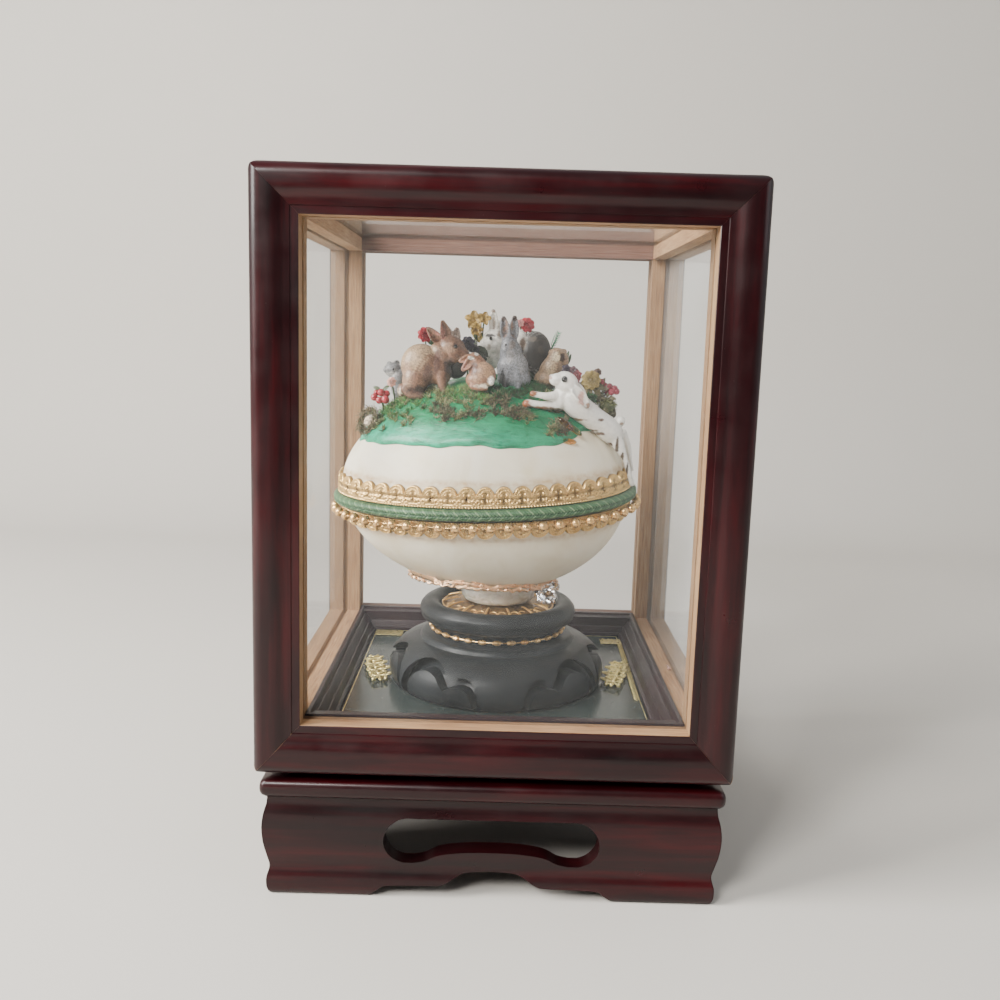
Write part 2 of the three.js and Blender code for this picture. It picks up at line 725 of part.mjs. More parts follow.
function buildFlowers() {
  figure('rose_red_left', petalRed, [[-38, 0.5, 236.6, 3.4, 3, 3.5]], [[-38, 0.5, 205, 236, 0.6]]);
  figure('rose_red_right', petalRed, [[10.4, 15.5, 243.2, 3.2, 2.8, 3.4]], [[10.4, 15.5, 205, 243, 0.6]]);
  figure('daffodil', petalYellow, [
    [-13.9, 4, 242, 5.2, 1.6, 5.2],
    [-13.9, 2, 242, 2.2, 2.4, 2.2],
  ], [[-13.9, 4.6, 208, 242, 0.6]]);
  figure('rose_gold', petalYellow, [
    [40.6, -10, 217.2, 4, 3.4, 3.8],
    [41.5, -8, 209.5, 3.4, 3, 6],
    [44, -8, 203, 4, 3.6, 5],
  ]);
  figure('flower_dark', petalDark, [[-17.6, -9.5, 232, 3.4, 2.6, 3.4]], [[-17.6, -8.6, 206, 232, 0.6]]);
  figure('berries_left', petalRed, [
    [-62.2, -8, 205.6, 2, 2, 2],
    [-59, -8.6, 207.6, 2, 2, 2],
    [-57.6, -9, 204.6, 2.1, 2.1, 2.1],
    [-60.2, -8.4, 203.8, 1.9, 1.9, 1.9],
  ], [[-59.2, -8, 190, 205, 0.8]]);
}

buildBaseBoard();
buildAprons();
buildCaseFrame();
buildGlass();
buildFloor();
buildStand();
buildNeckBeads();
buildSeat();
add('egg_shell', eggGeometry(0), eggshell);
buildTrims();
add('hill', hillGeometry(0, HILL_UNDER), hillPaint);
buildAnimals();
buildFlowers();

export default part;
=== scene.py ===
"""Looks for a decorated egg on a carved stand inside a small glazed display case.

Every length is in millimetres until a mesh is made, and metres in Blender.
+Z is up and the glazed front faces -Y, as in the frame.
"""
import math
import random

import bmesh
import bpy
import numpy as np
from mathutils import Matrix, Vector


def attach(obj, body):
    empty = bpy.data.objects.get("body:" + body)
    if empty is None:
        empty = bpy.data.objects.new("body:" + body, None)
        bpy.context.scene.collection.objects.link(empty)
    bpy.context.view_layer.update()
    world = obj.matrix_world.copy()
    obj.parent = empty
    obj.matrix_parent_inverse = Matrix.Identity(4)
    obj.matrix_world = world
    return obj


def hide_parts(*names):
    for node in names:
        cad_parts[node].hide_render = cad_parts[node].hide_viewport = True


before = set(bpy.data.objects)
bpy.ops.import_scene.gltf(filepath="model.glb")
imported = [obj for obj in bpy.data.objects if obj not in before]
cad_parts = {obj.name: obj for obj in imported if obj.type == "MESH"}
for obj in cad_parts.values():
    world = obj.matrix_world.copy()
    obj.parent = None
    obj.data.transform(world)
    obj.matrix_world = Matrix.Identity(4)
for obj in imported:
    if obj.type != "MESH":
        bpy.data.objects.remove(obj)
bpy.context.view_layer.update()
MM = 0.001
TAU = 2 * math.pi
rng = random.Random(7)

# ---------------------------------------------------------------- camera

PITCH, YAW, ROLL = math.radians(-9.289), math.radians(-0.129), math.radians(-1.684)
FOCAL_PX = 1023.47
EYE = np.array([-1.5, -496.2, 238.0])


def camera_axes():
    cy, sy = math.cos(YAW), math.sin(YAW)
    cp, sp = math.cos(PITCH), math.sin(PITCH)
    cr, sr = math.cos(ROLL), math.sin(ROLL)
    about_z = np.array([[cy, -sy, 0], [sy, cy, 0], [0, 0, 1]])
    about_x = np.array([[1, 0, 0], [0, cp, -sp], [0, sp, cp]])
    about_y = np.array([[cr, 0, sr], [0, 1, 0], [-sr, 0, cr]])
    return about_z @ about_x @ about_y


AXES = camera_axes()


def spot(u, v, y):
    """The point at a place in the picture, on the upright plane at a depth y."""
    ray = AXES @ np.array([(u - 500) / FOCAL_PX, 1, (500 - v) / FOCAL_PX])
    return EYE + ray * (y - EYE[1]) / ray[1]


def floor_spot(u, v, z):
    """The point at a place in the picture, on the level plane at a height z."""
    ray = AXES @ np.array([(u - 500) / FOCAL_PX, 1, (500 - v) / FOCAL_PX])
    return EYE + ray * (z - EYE[2]) / ray[2]


def spread(low=-1.0):
    """A random step, from -1 to 1 on each axis. Its lowest Z is low."""
    return np.array([rng.uniform(-1, 1), rng.uniform(-1, 1), rng.uniform(low, 1)])


def in_picture(points):
    seen = (np.asarray(points, float) - EYE) @ AXES
    u = 500 + FOCAL_PX * seen[..., 0] / seen[..., 1]
    v = 500 - FOCAL_PX * seen[..., 2] / seen[..., 1]
    return u, v


def build_camera():
    data = bpy.data.cameras.new("camera")
    data.lens = 36.845
    data.sensor_width = 36
    data.clip_start = 0.01
    camera = bpy.data.objects.new("camera", data)
    bpy.context.collection.objects.link(camera)
    matrix = Matrix.Identity(4)
    for row in range(3):
        matrix[row][0] = AXES[row, 0]
        matrix[row][1] = AXES[row, 2]
        matrix[row][2] = -AXES[row, 1]
        matrix[row][3] = EYE[row] * MM
    camera.matrix_world = matrix
    bpy.context.scene.camera = camera


# ---------------------------------------------------------------- materials


class Look:
    """Wires one procedural material. Texture coordinates are in millimetres."""

    def __init__(self, name, sockets):
        self.material = bpy.data.materials.new(name)
        self.material.use_nodes = True
        self.tree = self.material.node_tree
        self.shader = self.tree.nodes["Principled BSDF"]
        for key, value in sockets.items():
            self.shader.inputs[key].default_value = value

    def node(self, kind, inputs, **settings):
        made = self.tree.nodes.new(kind)
        for key, value in settings.items():
            setattr(made, key, value)
        for key, value in inputs.items():
            self.feed(made.inputs[key], value)
        return made

    def feed(self, socket, value):
        if isinstance(value, bpy.types.NodeSocket):
            self.tree.links.new(value, socket)
        else:
            if isinstance(value, tuple) and len(value) == 3 and socket.type == "RGBA":
                value = (*value, 1)
            socket.default_value = value

    def to(self, key, value):
        self.feed(self.shader.inputs[key], value)

    def at(self, stretch=(1, 1, 1)):
        where = self.node("ShaderNodeTexCoord", {})
        scale = tuple(s / MM for s in stretch)
        return self.node("ShaderNodeMapping", {"Vector": where.outputs["Object"], "Scale": scale}).outputs["Vector"]

    def along(self, axis, across, lengthwise):
        """Coordinates stretched along one axis, as wood grain is."""
        return self.at(tuple(lengthwise if letter == axis else across for letter in "xyz"))

    def noise(self, at, scale, detail=3.0, rough=0.55, warp=0.0):
        values = {"Vector": at, "Scale": scale, "Detail": detail, "Roughness": rough, "Distortion": warp}
        return self.node("ShaderNodeTexNoise", values).outputs["Fac"]

    def cells(self, at, scale):
        return self.node("ShaderNodeTexVoronoi", {"Vector": at, "Scale": scale}).outputs["Distance"]

    def ramp(self, value, *stops):
        made = self.node("ShaderNodeValToRGB", {"Fac": value})
        ramp = made.color_ramp
        while len(ramp.elements) < len(stops):
            ramp.elements.new(0.5)
        for element, (place, color) in zip(ramp.elements, stops):
            element.position = place
            shade = (color,) * 3 if isinstance(color, (int, float)) else color
            element.color = (*shade, 1)
        return made.outputs["Color"]

    def mix(self, amount, first, second):
        return self.node("ShaderNodeMix", {0: amount, 6: first, 7: second}, data_type="RGBA").outputs[2]

    def math(self, kind, first, second):
        return self.node("ShaderNodeMath", {0: first, 1: second}, operation=kind).outputs[0]

    def blend(self, first, share, second, other):
        """Adds two values, each with its own share."""
        return self.math("ADD", self.math("MULTIPLY", first, share), self.math("MULTIPLY", second, other))

    def tag(self, name):
        made = self.node("ShaderNodeAttribute", {}, attribute_name=name)
        return made.outputs["Fac"] if name == "tint" else made.outputs["Color"]

    def bump(self, height, strength, distance):
        values = {"Height": height, "Strength": strength, "Distance": distance * MM}
        self.to("Normal", self.node("ShaderNodeBump", values).outputs["Normal"])
        return self


def lacquer(name, along):
    """Burgundy lacquer over wood whose grain runs along one axis."""
    look = Look(name, {"Coat Weight": 0.12, "Coat Roughness": 0.1, "IOR": 1.36})
    grain = look.noise(look.along(along, 0.55, 0.035), 0.5, 5.0, 0.62, 0.4)
    cloud = look.noise(look.along(along, 1.0, 0.16), 0.06, 3.0, 0.55, 0.5)
    shade = look.blend(grain, 0.5, cloud, 0.55)
    color = look.ramp(shade, (0.34, (0.004, 0.0006, 0.001)), (0.52, (0.013, 0.0007, 0.0016)),
                      (0.74, (0.04, 0.0008, 0.0024)))
    dust = look.ramp(look.cells(look.at(), 0.55), (0.045, 0.55), (0.075, 0.0))
    few = look.ramp(look.noise(look.at(), 0.2, 1.0), (0.62, 0.0), (0.72, 0.35))
    speck = look.math("MULTIPLY", dust, few)
    look.to("Base Color", look.mix(speck, color, (0.4, 0.33, 0.3)))
    smear = look.noise(look.at(), 0.06, 4.0, 0.6)
    look.to("Roughness", look.ramp(smear, (0.3, 0.27), (0.75, 0.46)))
    ripple = look.noise(look.at((0.4, 0.4, 0.4)), 0.9, 3.0)
    return look.bump(look.blend(grain, 0.6, ripple, 0.25), 0.3, 0.25).material


def raw_wood(name, along, tone):
    """Bare wood with dark pores. tone shades its three channels."""
    look = Look(name, {"Roughness": 0.75, "IOR": 1.45})
    at = look.along(along, 1.0, 0.04)
    grain = look.noise(at, 1.5, 4.0, 0.6, 0.2)
    pores = look.ramp(look.noise(at, 5.5, 2.0, 0.5), (0.3, 0.0), (0.46, 1.0))
    wave = look.noise(look.at(), 0.03, 2.0)
    shade = look.blend(grain, 0.7, wave, 0.3)
    stops = ((0.3, (0.24, 0.115, 0.06)), (0.5, (0.43, 0.25, 0.145)), (0.7, (0.58, 0.38, 0.24)))
    color = look.ramp(shade, *((place, tuple(c * t for c, t in zip(color, tone))) for place, color in stops))
    look.to("Base Color", look.mix(0.6, color, look.mix(pores, tuple(0.14 * t for t in tone), color)))
    return look.bump(look.math("MULTIPLY", pores, grain), 0.35, 0.2).material


def pane_glass():
    """Thin clear glass. A faint grey layer that thickens at a slant is painted reflection, the glare of the panes,
    mixed with dust.
    """
    look = Look("pane_glass", {"IOR": 1.5})
    haze = look.noise(look.at(), 0.03, 4.0, 0.6)
    slant = look.node("ShaderNodeLayerWeight", {"Blend": 0.5}).outputs["Facing"]
    # Painted reflection with dust: a grey layer, faint face on and strong at a slant, stands in for the glare of the
    # panes.
    slant_glare_and_dust = look.ramp(slant, (0.3, 0.03), (0.7, 0.09), (0.95, 0.42))
    look.to("Alpha", look.math("MULTIPLY", slant_glare_and_dust, look.ramp(haze, (0.3, 0.75), (0.7, 1.0))))
    look.to("Base Color", look.ramp(haze, (0.3, (0.5, 0.52, 0.52)), (0.7, (0.56, 0.58, 0.58))))
    look.to("Roughness", look.ramp(haze, (0.5, 0.02), (0.8, 0.05)))
    return look.material


def black_lacquer(name, tone, rough):
    """Black lacquered wood with a grey bloom and fine tool marks."""
    look = Look(name, {"IOR": 1.3, "Coat Weight": 0.04, "Coat Roughness": 0.2})
    marks = look.noise(look.at((1, 1, 0.35)), 1.1, 4.0, 0.65, 1.2)
    bloom = look.noise(look.at(), 0.045, 3.0, 0.6)
    dark = tuple(0.55 * c for c in tone)
    light = tuple(1.9 * c for c in tone)
    shade = look.blend(marks, 0.45, bloom, 0.55)
    color = look.ramp(shade, (0.32, dark), (0.5, tone), (0.72, light))
    dust = look.ramp(look.cells(look.at(), 0.42), (0.03, 0.5), (0.07, 0.0))
    look.to("Base Color", look.mix(dust, color, (0.12, 0.115, 0.11)))
    look.to("Roughness", look.ramp(bloom, (0.3, rough - 0.08), (0.7, rough + 0.12)))
    return look.bump(marks, 0.35, 0.16).material


def gilt(name, bright, dark, rough):
    """Worn gilding, brown in its hollows."""
    look = Look(name, {"Metallic": 0.85, "IOR": 1.5})
    stain = look.noise(look.at(), 0.5, 4.0, 0.6)
    depth = look.blend(look.tag("tint"), 0.8, stain, 0.35)
    look.to("Base Color", look.ramp(depth, (0.18, dark), (0.55, bright),
                                    (0.95, tuple(min(1, 1.12 * c) for c in bright))))
    look.to("Roughness", look.ramp(stain, (0.3, rough - 0.06), (0.7, rough + 0.14)))
    return look.bump(look.noise(look.at(), 2.2, 3.0), 0.2, 0.1).material


def shell_look():
    look = Look("eggshell", {"IOR": 1.45, "Subsurface Weight": 0.12, "Subsurface Scale": 0.002,
                             "Subsurface Radius": (1, 0.75, 0.5)})
    mottle = look.noise(look.at(), 0.06, 4.0, 0.6, 0.6)
    color = look.ramp(mottle, (0.3, (0.78, 0.69, 0.5)), (0.55, (0.86, 0.79, 0.63)), (0.75, (0.88, 0.84, 0.7)))
    stain = look.math("MULTIPLY", look.tag("tint"), look.ramp(look.noise(look.at(), 0.35, 4.0, 0.65), (0.32, 0.25),
                                                              (0.62, 1.0)))
    color = look.mix(stain, color, (0.5, 0.29, 0.1))
    speck = look.ramp(look.cells(look.at(), 0.23), (0.018, 0.8), (0.04, 0.0))
    rare = look.ramp(look.noise(look.at(), 0.11, 1.0), (0.6, 0.0), (0.66, 0.7))
    look.to("Base Color", look.mix(look.math("MULTIPLY", speck, rare), color, (0.16, 0.1, 0.05)))
    look.to("Roughness", look.ramp(mottle, (0.3, 0.42), (0.7, 0.58)))
    pores = look.ramp(look.cells(look.at(), 1.15), (0.05, 0.0), (0.16, 1.0))
    return look.bump(look.math("ADD", look.math("MULTIPLY", pores, 0.5), look.noise(look.at(), 0.6, 4.0)), 0.22,
                     0.12).material


def thread_look():
    look = Look("cord_thread", {"IOR": 1.4, "Sheen Weight": 0.1, "Anisotropic": 0.4})
    fuzz = look.noise(look.at(), 1.6, 3.0)
    # The cord's tint is painted light: shade in the grooves between strands and in the middle seam, a highlight on
    # each strand's crown, a lighter upper row.
    shade = look.blend(look.tag("tint"), 0.8, fuzz, 0.3)
    look.to("Base Color", look.ramp(shade, (0.12, (0.003, 0.011, 0.004)), (0.5, (0.014, 0.06, 0.022)),
                                    (0.8, (0.06, 0.15, 0.062)), (1.0, (0.26, 0.36, 0.19))))
    look.to("Roughness", look.ramp(fuzz, (0.3, 0.34), (0.7, 0.5)))
    return look.bump(look.noise(look.at(), 5.0, 2.0), 0.3, 0.12).material


def hill_look():
    """Brushed gloss paint: emerald with turquoise at its edge and darker strokes. The edge is stronger on the left, a
    painted highlight on the lit side.
    """
    look = Look("hill_paint", {"IOR": 1.42, "Coat Weight": 0.15, "Coat Roughness": 0.2})
    strokes = look.noise(look.at((0.35, 1.0, 1.1)), 0.42, 5.0, 0.65, 0.9)
    wide = look.noise(look.at((0.5, 1.0, 1.0)), 0.09, 3.0, 0.55)
    shade = look.blend(strokes, 0.6, wide, 0.42)
    color = look.ramp(shade, (0.32, (0.002, 0.04, 0.016)), (0.48, (0.003, 0.16, 0.055)), (0.62, (0.006, 0.27, 0.105)),
                      (0.8, (0.03, 0.42, 0.22)))
    rim = look.math("MULTIPLY", look.tag("tint"), look.ramp(strokes, (0.35, 0.35), (0.6, 1.0)))
    look.to("Base Color", look.mix(rim, color, (0.02, 0.42, 0.25)))
    look.to("Roughness", look.ramp(wide, (0.35, 0.2), (0.7, 0.42)))
    return look.bump(look.math("ADD", strokes, look.math("MULTIPLY", wide, 0.8)), 0.65, 0.5).material


def painted(name, rough, fleck, fine, coat):
    """Hand-painted figure: the colour comes from the piece, broken by flecks and brush marks."""
    look = Look(name, {"IOR": 1.5, "Coat Weight": coat, "Coat Roughness": 0.25})
    flecks = look.ramp(look.noise(look.at(), fine, 4.0, 0.7), (0.36, 1 - fleck), (0.64, 1 + fleck))
    scaled = look.node("ShaderNodeVectorMath", {0: look.tag("paint"), 1: flecks}, operation="MULTIPLY")
    look.to("Base Color", scaled.outputs[0])
    look.to("Roughness", look.ramp(look.noise(look.at(), 0.3, 3.0), (0.3, rough - 0.1), (0.7, rough + 0.1)))
    return look.bump(look.noise(look.at((1, 1, 0.6)), 1.7, 4.0, 0.65), 0.4, 0.22).material


def crystal_look(name, tone):
    look = Look(name, {"Base Color": (*tone, 1), "Transmission Weight": 1.0, "IOR": 1.54})
    look.to("Roughness", look.ramp(look.noise(look.at(), 0.5, 2.0), (0.4, 0.01), (0.8, 0.06)))
    return look.material


def stone_look():
    look = Look("pale_stone", {"IOR": 1.5, "Subsurface Weight": 0.2, "Subsurface Scale": 0.003, "Coat Weight": 0.3,
                               "Coat Roughness": 0.15})
    veins = look.noise(look.at((1, 1, 1.6)), 0.16, 5.0, 0.6, 1.5)
    look.to("Base Color", look.ramp(veins, (0.32, (0.56, 0.52, 0.44)), (0.5, (0.72, 0.69, 0.61)),
                                    (0.7, (0.78, 0.76, 0.7))))
    look.to("Roughness", look.ramp(veins, (0.3, 0.2), (0.7, 0.34)))
    return look.bump(veins, 0.08, 0.1).material


def panel_look():
    look = Look("panel_gloss", {"IOR": 1.36})
    cloud = look.noise(look.at(), 0.03, 4.0, 0.6)
    look.to("Base Color", look.ramp(cloud, (0.3, (0.022, 0.032, 0.03)), (0.7, (0.04, 0.053, 0.05))))
    dust = look.ramp(look.cells(look.at(), 0.5), (0.03, 0.55), (0.07, 0.3))
    look.to("Roughness", look.ramp(look.noise(look.at(), 0.4, 3.0), (0.35, 0.16), (0.7, 0.28)))
    return look.bump(dust, 0.01, 0.02).material


def stage_look(name, tone):
    look = Look(name, {"Roughness": 0.9})
    cloud = look.noise(look.at(), 0.004, 3.0)
    look.to("Base Color", look.mix(cloud, tuple(0.96 * c for c in tone), tone))
    return look.bump(look.noise(look.at(), 0.25, 3.0), 0.05, 0.3).material


LOOKS = {}


def build_looks():
    for axis in "xyz":
        LOOKS[f"lacquer_{axis}"] = lacquer(f"lacquer_{axis}", axis)
        # The posts' bare wood is a darker copy of the rails' bare wood: painted shade on the upright members.
        tone = (0.72, 0.7, 0.58) if axis == "z" else (0.86, 0.83, 0.7)
        LOOKS[f"raw_{axis}"] = raw_wood(f"raw_{axis}", axis, tone)
    # A darker, purplish copy of the bare wood for the back rails: painted shade at the back of the case.
    LOOKS["shaded_raw_x"] = raw_wood("shaded_raw_x", "x", (0.42, 0.36, 0.42))
    LOOKS["stand"] = black_lacquer("stand_lacquer", (0.013, 0.015, 0.0165), 0.4)
    LOOKS["tray"] = black_lacquer("tray_lacquer", (0.02, 0.01, 0.0125), 0.36)
    for key, name, *values in (
            ("gold", "gold_rose", (0.85, 0.55, 0.33), (0.2, 0.09, 0.04), 0.28),
            ("gold_worn", "gold_worn", (0.8, 0.53, 0.2), (0.07, 0.034, 0.009), 0.3),
            ("bead_gold", "bead_gold", (0.74, 0.46, 0.18), (0.2, 0.1, 0.032), 0.26),
            ("foil", "gold_foil", (0.78, 0.66, 0.28), (0.2, 0.15, 0.05), 0.28)):
        LOOKS[key] = gilt(name, *values)
    for key, name, *values in (
            ("fur", "fur_paint", 0.46, 0.5, 1.3, 0.2), ("coat", "smooth_coat", 0.55, 0.25, 0.6, 0.06),
            ("glaze", "white_glaze", 0.3, 0.06, 0.6, 0.5), ("petal", "petal_paint", 0.42, 0.25, 0.8, 0.15),
            ("moss", "moss_fibre", 0.85, 0.5, 0.7, 0.0), ("berry", "berry_gloss", 0.2, 0.12, 0.8, 0.6),
            ("eye", "eye_gloss", 0.12, 0.05, 0.5, 0.8)):
        LOOKS[key] = painted(name, *values)
    for key, make in (("glass", pane_glass), ("panel", panel_look), ("shell", shell_look), ("thread", thread_look),
                      ("hill", hill_look), ("stone", stone_look)):
        LOOKS[key] = make()
    LOOKS["crystal"] = crystal_look("clear_crystal", (0.97, 0.98, 0.99))
    LOOKS["amber"] = crystal_look("amber_glue", (0.8, 0.42, 0.1))


# ---------------------------------------------------------------- mesh tools


class Soup:
    """Gathers many closed forms into one piece, each with its shade and colour."""

    def __init__(self):
        self.points, self.faces, self.tints, self.paints, self.kinds = [], [], [], [], []
        self.count = 0

    def add(self, form, tint=1.0, paint=(0.5, 0.5, 0.5), kind=0):
        points, faces = form
        points = np.asarray(points, float)
        self.points.append(points)
        self.faces += [[i + self.count for i in face] for face in faces]
        self.tints.append(np.broadcast_to(np.asarray(tint, float), (len(points),)))
        self.paints.append(np.broadcast_to(np.asarray(paint, float), (len(points), 3)))
        self.kinds += kind if isinstance(kind, list) else [kind] * len(faces)
        self.count += len(points)
        return self

    def piece(self, name, looks, slot, nodes=(), smooth=True, sharp=None):
        points = np.concatenate(self.points) * MM
        mesh = bpy.data.meshes.new(name)
        mesh.from_pydata(points.tolist(), [], self.faces)
        store = mesh.attributes.new("tint", "FLOAT", "POINT")
        store.data.foreach_set("value", np.concatenate(self.tints).astype(np.float32))
        paint = np.ones((self.count, 4), np.float32)
        paint[:, :3] = np.concatenate(self.paints)
        store = mesh.attributes.new("paint", "FLOAT_COLOR", "POINT")
        store.data.foreach_set("color", paint.ravel())
        for look in ([looks] if isinstance(looks, str) else looks):
            mesh.materials.append(LOOKS[look])
        mesh.polygons.foreach_set("material_index", self.kinds)
        return finish_piece(name, mesh, nodes, smooth, sharp)


def face_out(mesh):
    work = bmesh.new()
    work.from_mesh(mesh)
    bmesh.ops.recalc_face_normals(work, faces=work.faces)
    work.to_mesh(mesh)
    work.free()


def finish_piece(name, mesh, nodes, smooth=True, sharp=None):
    mesh.validate()
    face_out(mesh)
    if smooth:
        mesh.shade_smooth()
        if sharp:
            mesh.set_sharp_from_angle(angle=math.radians(sharp))
    made = bpy.data.objects.new(name, mesh)
    bpy.context.collection.objects.link(made)
    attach(made, "root")
    if nodes:
        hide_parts(*nodes)
    return made


def unit(v):
    v = np.asarray(v, float)
    return v / max(1e-12, np.linalg.norm(v))


def grid_faces(rows, cols, ring=True, loop=False):
    """Quads over rows of points. ring closes each row, loop joins the last row to the first."""
    faces = []
    for r in range(rows if loop else rows - 1):
        nxt = (r + 1) % rows
        for c in range(cols if ring else cols - 1):
            d = (c + 1) % cols
            faces.append([r * cols + c, r * cols + d, nxt * cols + d, nxt * cols + c])
    return faces


def loft(rings, loop=False):
    rings = np.asarray(rings, float)
    rows, cols = rings.shape[:2]
    faces = grid_faces(rows, cols, True, loop)
    if not loop:
        faces.append(list(range(cols))[::-1])
        faces.append([(rows - 1) * cols + k for k in range(cols)])
    return rings.reshape(-1, 3), faces


def lathe(profile, count):
    """Turns [radius, height] points about the Z axis: a closed loop, or a line that starts and ends on the axis."""
    turns = np.arange(count) * TAU / count
    cos, sin = np.cos(turns), np.sin(turns)
    points, faces, rows = [], [], []
    for radius, z in profile:
        if radius < 1e-6:
            rows.append([len(points)])
            points.append((0, 0, z))
        else:
            rows.append(list(range(len(points), len(points) + count)))
            points += [(radius * c, radius * s, z) for c, s in zip(cos, sin)]
    pairs = list(zip(rows, rows[1:]))
    if len(rows[0]) > 1 and len(rows[-1]) > 1:
        pairs.append((rows[-1], rows[0]))
    for a, b in pairs:
        for k in range(count):
            n = (k + 1) % count
            if len(a) == 1 and len(b) > 1:
                faces.append([a[0], b[n], b[k]])
            elif len(b) == 1 and len(a) > 1:
                faces.append([a[k], a[n], b[0]])
            elif len(a) > 1:
                faces.append([a[k], a[n], b[n], b[k]])
    return np.array(points), faces


def tube(path, radius, sides=8, closed=False, flat=1.0, up=(0, 0, 1)):
    """Sweeps a round section along a path. radius is one value or one for each point."""
    path = np.asarray(path, float)
    count = len(path)
    radii = np.broadcast_to(np.asarray(radius, float), (count,))
    ahead = np.roll(path, -1, 0) - np.roll(path, 1, 0)
    if not closed:
        ahead[0], ahead[-1] = path[1] - path[0], path[-1] - path[-2]
    side = np.cross(ahead, np.asarray(up, float))
    weak = np.linalg.norm(side, axis=1) < 1e-6
    side[weak] = np.cross(ahead[weak], (0.3, 1, 0.1))
    side /= np.linalg.norm(side, axis=1)[:, None]
    over = np.cross(side, ahead)
    over /= np.linalg.norm(over, axis=1)[:, None]
    turns = np.arange(sides) * TAU / sides
    rings = (path[:, None] + radii[:, None, None] * (np.cos(turns)[None, :, None] * side[:, None]
             + flat * np.sin(turns)[None, :, None] * over[:, None]))
    return loft(rings, closed)


def ball(centre, radii, axes=None, around=14, along=9):
    """An ellipsoid. axes are three unit rows that its radii lie along."""
    radii = np.broadcast_to(np.asarray(radii, float), (3,))
    rows = [[0, 0, 1.0]]
    for a in np.arange(1, along) * math.pi / along:
        for t in np.arange(around) * TAU / around:
            rows.append([math.sin(a) * math.cos(t), math.sin(a) * math.sin(t), math.cos(a)])
    rows.append([0, 0, -1.0])
    points = np.array(rows) * radii
    if axes is not None:
        points = points @ np.asarray(axes, float)
    faces = []
    last = len(rows) - 1
    for t in range(around):
        n = (t + 1) % around
        faces.append([0, 1 + t, 1 + n])
        for r in range(along - 2):
            a, b = 1 + r * around, 1 + (r + 1) * around
            faces.append([a + t, b + t, b + n, a + n])
        end = 1 + (along - 2) * around
        faces.append([end + t, last, end + n])
    return points + np.asarray(centre, float), faces


def turned(yaw, pitch):
    """Three axis rows: a length axis that starts along X, pitched up and turned about Z."""
    y, p = math.radians(yaw), math.radians(pitch)
    ahead = np.array([math.cos(p) * math.cos(y), math.cos(p) * math.sin(y), math.sin(p)])
    side = np.array([-math.sin(y), math.cos(y), 0.0])
    return np.array([ahead, side, np.cross(ahead, side)])


def circle(radius, z, count=120):
    """Points on a level circle about the Z axis."""
    return [(radius * math.cos(t), radius * math.sin(t), z) for t in np.arange(count) * TAU / count]


def about_z(turn):
    """A matrix on the right of rows of points that turns them about the Z axis, in radians."""
    return np.array([[math.cos(turn), math.sin(turn), 0], [-math.sin(turn), math.cos(turn), 0], [0, 0, 1]])


def soften_edges(made, width, angle):
    edge = made.modifiers.new("soft_edges", "BEVEL")
    edge.width = width * MM
    edge.segments = 2
    edge.limit_method = "ANGLE"
    edge.angle_limit = math.radians(angle)


def sheet(grid, thick):
    """A closed thin shell over a grid of points, such as a petal or a leaf."""
    grid = np.asarray(grid, float)
    rows, cols = grid.shape[:2]
    du = np.gradient(grid, axis=0)
    dv = np.gradient(grid, axis=1)
    normal = np.cross(du, dv)
    normal /= np.maximum(1e-9, np.linalg.norm(normal, axis=2))[..., None]
    top = (grid + normal * thick / 2).reshape(-1, 3)
    low = (grid - normal * thick / 2).reshape(-1, 3)
    n = rows * cols
    faces = grid_faces(rows, cols, False)
    under = [[i + n for i in face[::-1]] for face in faces]
    rim = [c for c in range(cols)] + [r * cols + cols - 1 for r in range(1, rows)]
    rim += [(rows - 1) * cols + c for c in range(cols - 2, -1, -1)] + [r * cols for r in range(rows - 2, 0, -1)]
    walls = [[rim[k], rim[k] + n, rim[(k + 1) % len(rim)] + n, rim[(k + 1) % len(rim)]] for k in range(len(rim))]
    return np.concatenate([top, low]), faces + under + walls


def smooth_line(points, steps):
    """A Catmull-Rom curve through points."""
    pts = np.asarray(points, float)
    out = []
    for k in range(len(pts) - 1):
        p0, p1, p2, p3 = pts[max(k - 1, 0)], pts[k], pts[k + 1], pts[min(k + 2, len(pts) - 1)]
        for t in np.arange(steps) / steps:
            out.append(0.5 * (2 * p1 + (p2 - p0) * t + (2 * p0 - 5 * p1 + 4 * p2 - p3) * t * t
                              + (3 * p1 - p0 - 3 * p2 + p3) * t ** 3))
    return np.array(out + [pts[-1]])


def arc(cx, cy, radius, start, end, steps):
    turns = np.radians(np.linspace(start, end, steps + 1))
    return [[cx + radius * math.cos(t), cy + radius * math.sin(t)] for t in turns]


def raw_object(form):
    mesh = bpy.data.meshes.new("work")
    mesh.from_pydata((np.asarray(form[0]) * MM).tolist(), [], form[1])
    face_out(mesh)
    made = bpy.data.objects.new("work", mesh)
    bpy.context.collection.objects.link(made)
    return made


def baked(made):
    """The object's mesh with its modifiers applied. The object goes."""
    deps = bpy.context.evaluated_depsgraph_get()
    mesh = bpy.data.meshes.new_from_object(made.evaluated_get(deps))
    bpy.data.objects.remove(made)
    return mesh


def form_of(mesh):
    points = np.empty(len(mesh.vertices) * 3)
    mesh.vertices.foreach_get("co", points)
    return points.reshape(-1, 3) / MM, [list(p.vertices) for p in mesh.polygons]


def carve(form, cutters, operation="DIFFERENCE"):
    target, tools = raw_object(form), [raw_object(cutter) for cutter in cutters]
    for tool in tools:
        step = target.modifiers.new("cut", "BOOLEAN")
        step.operation = operation
        step.solver = "EXACT"
        step.object = tool
    mesh = baked(target)
    for tool in tools:
        bpy.data.objects.remove(tool)
    return form_of(mesh)


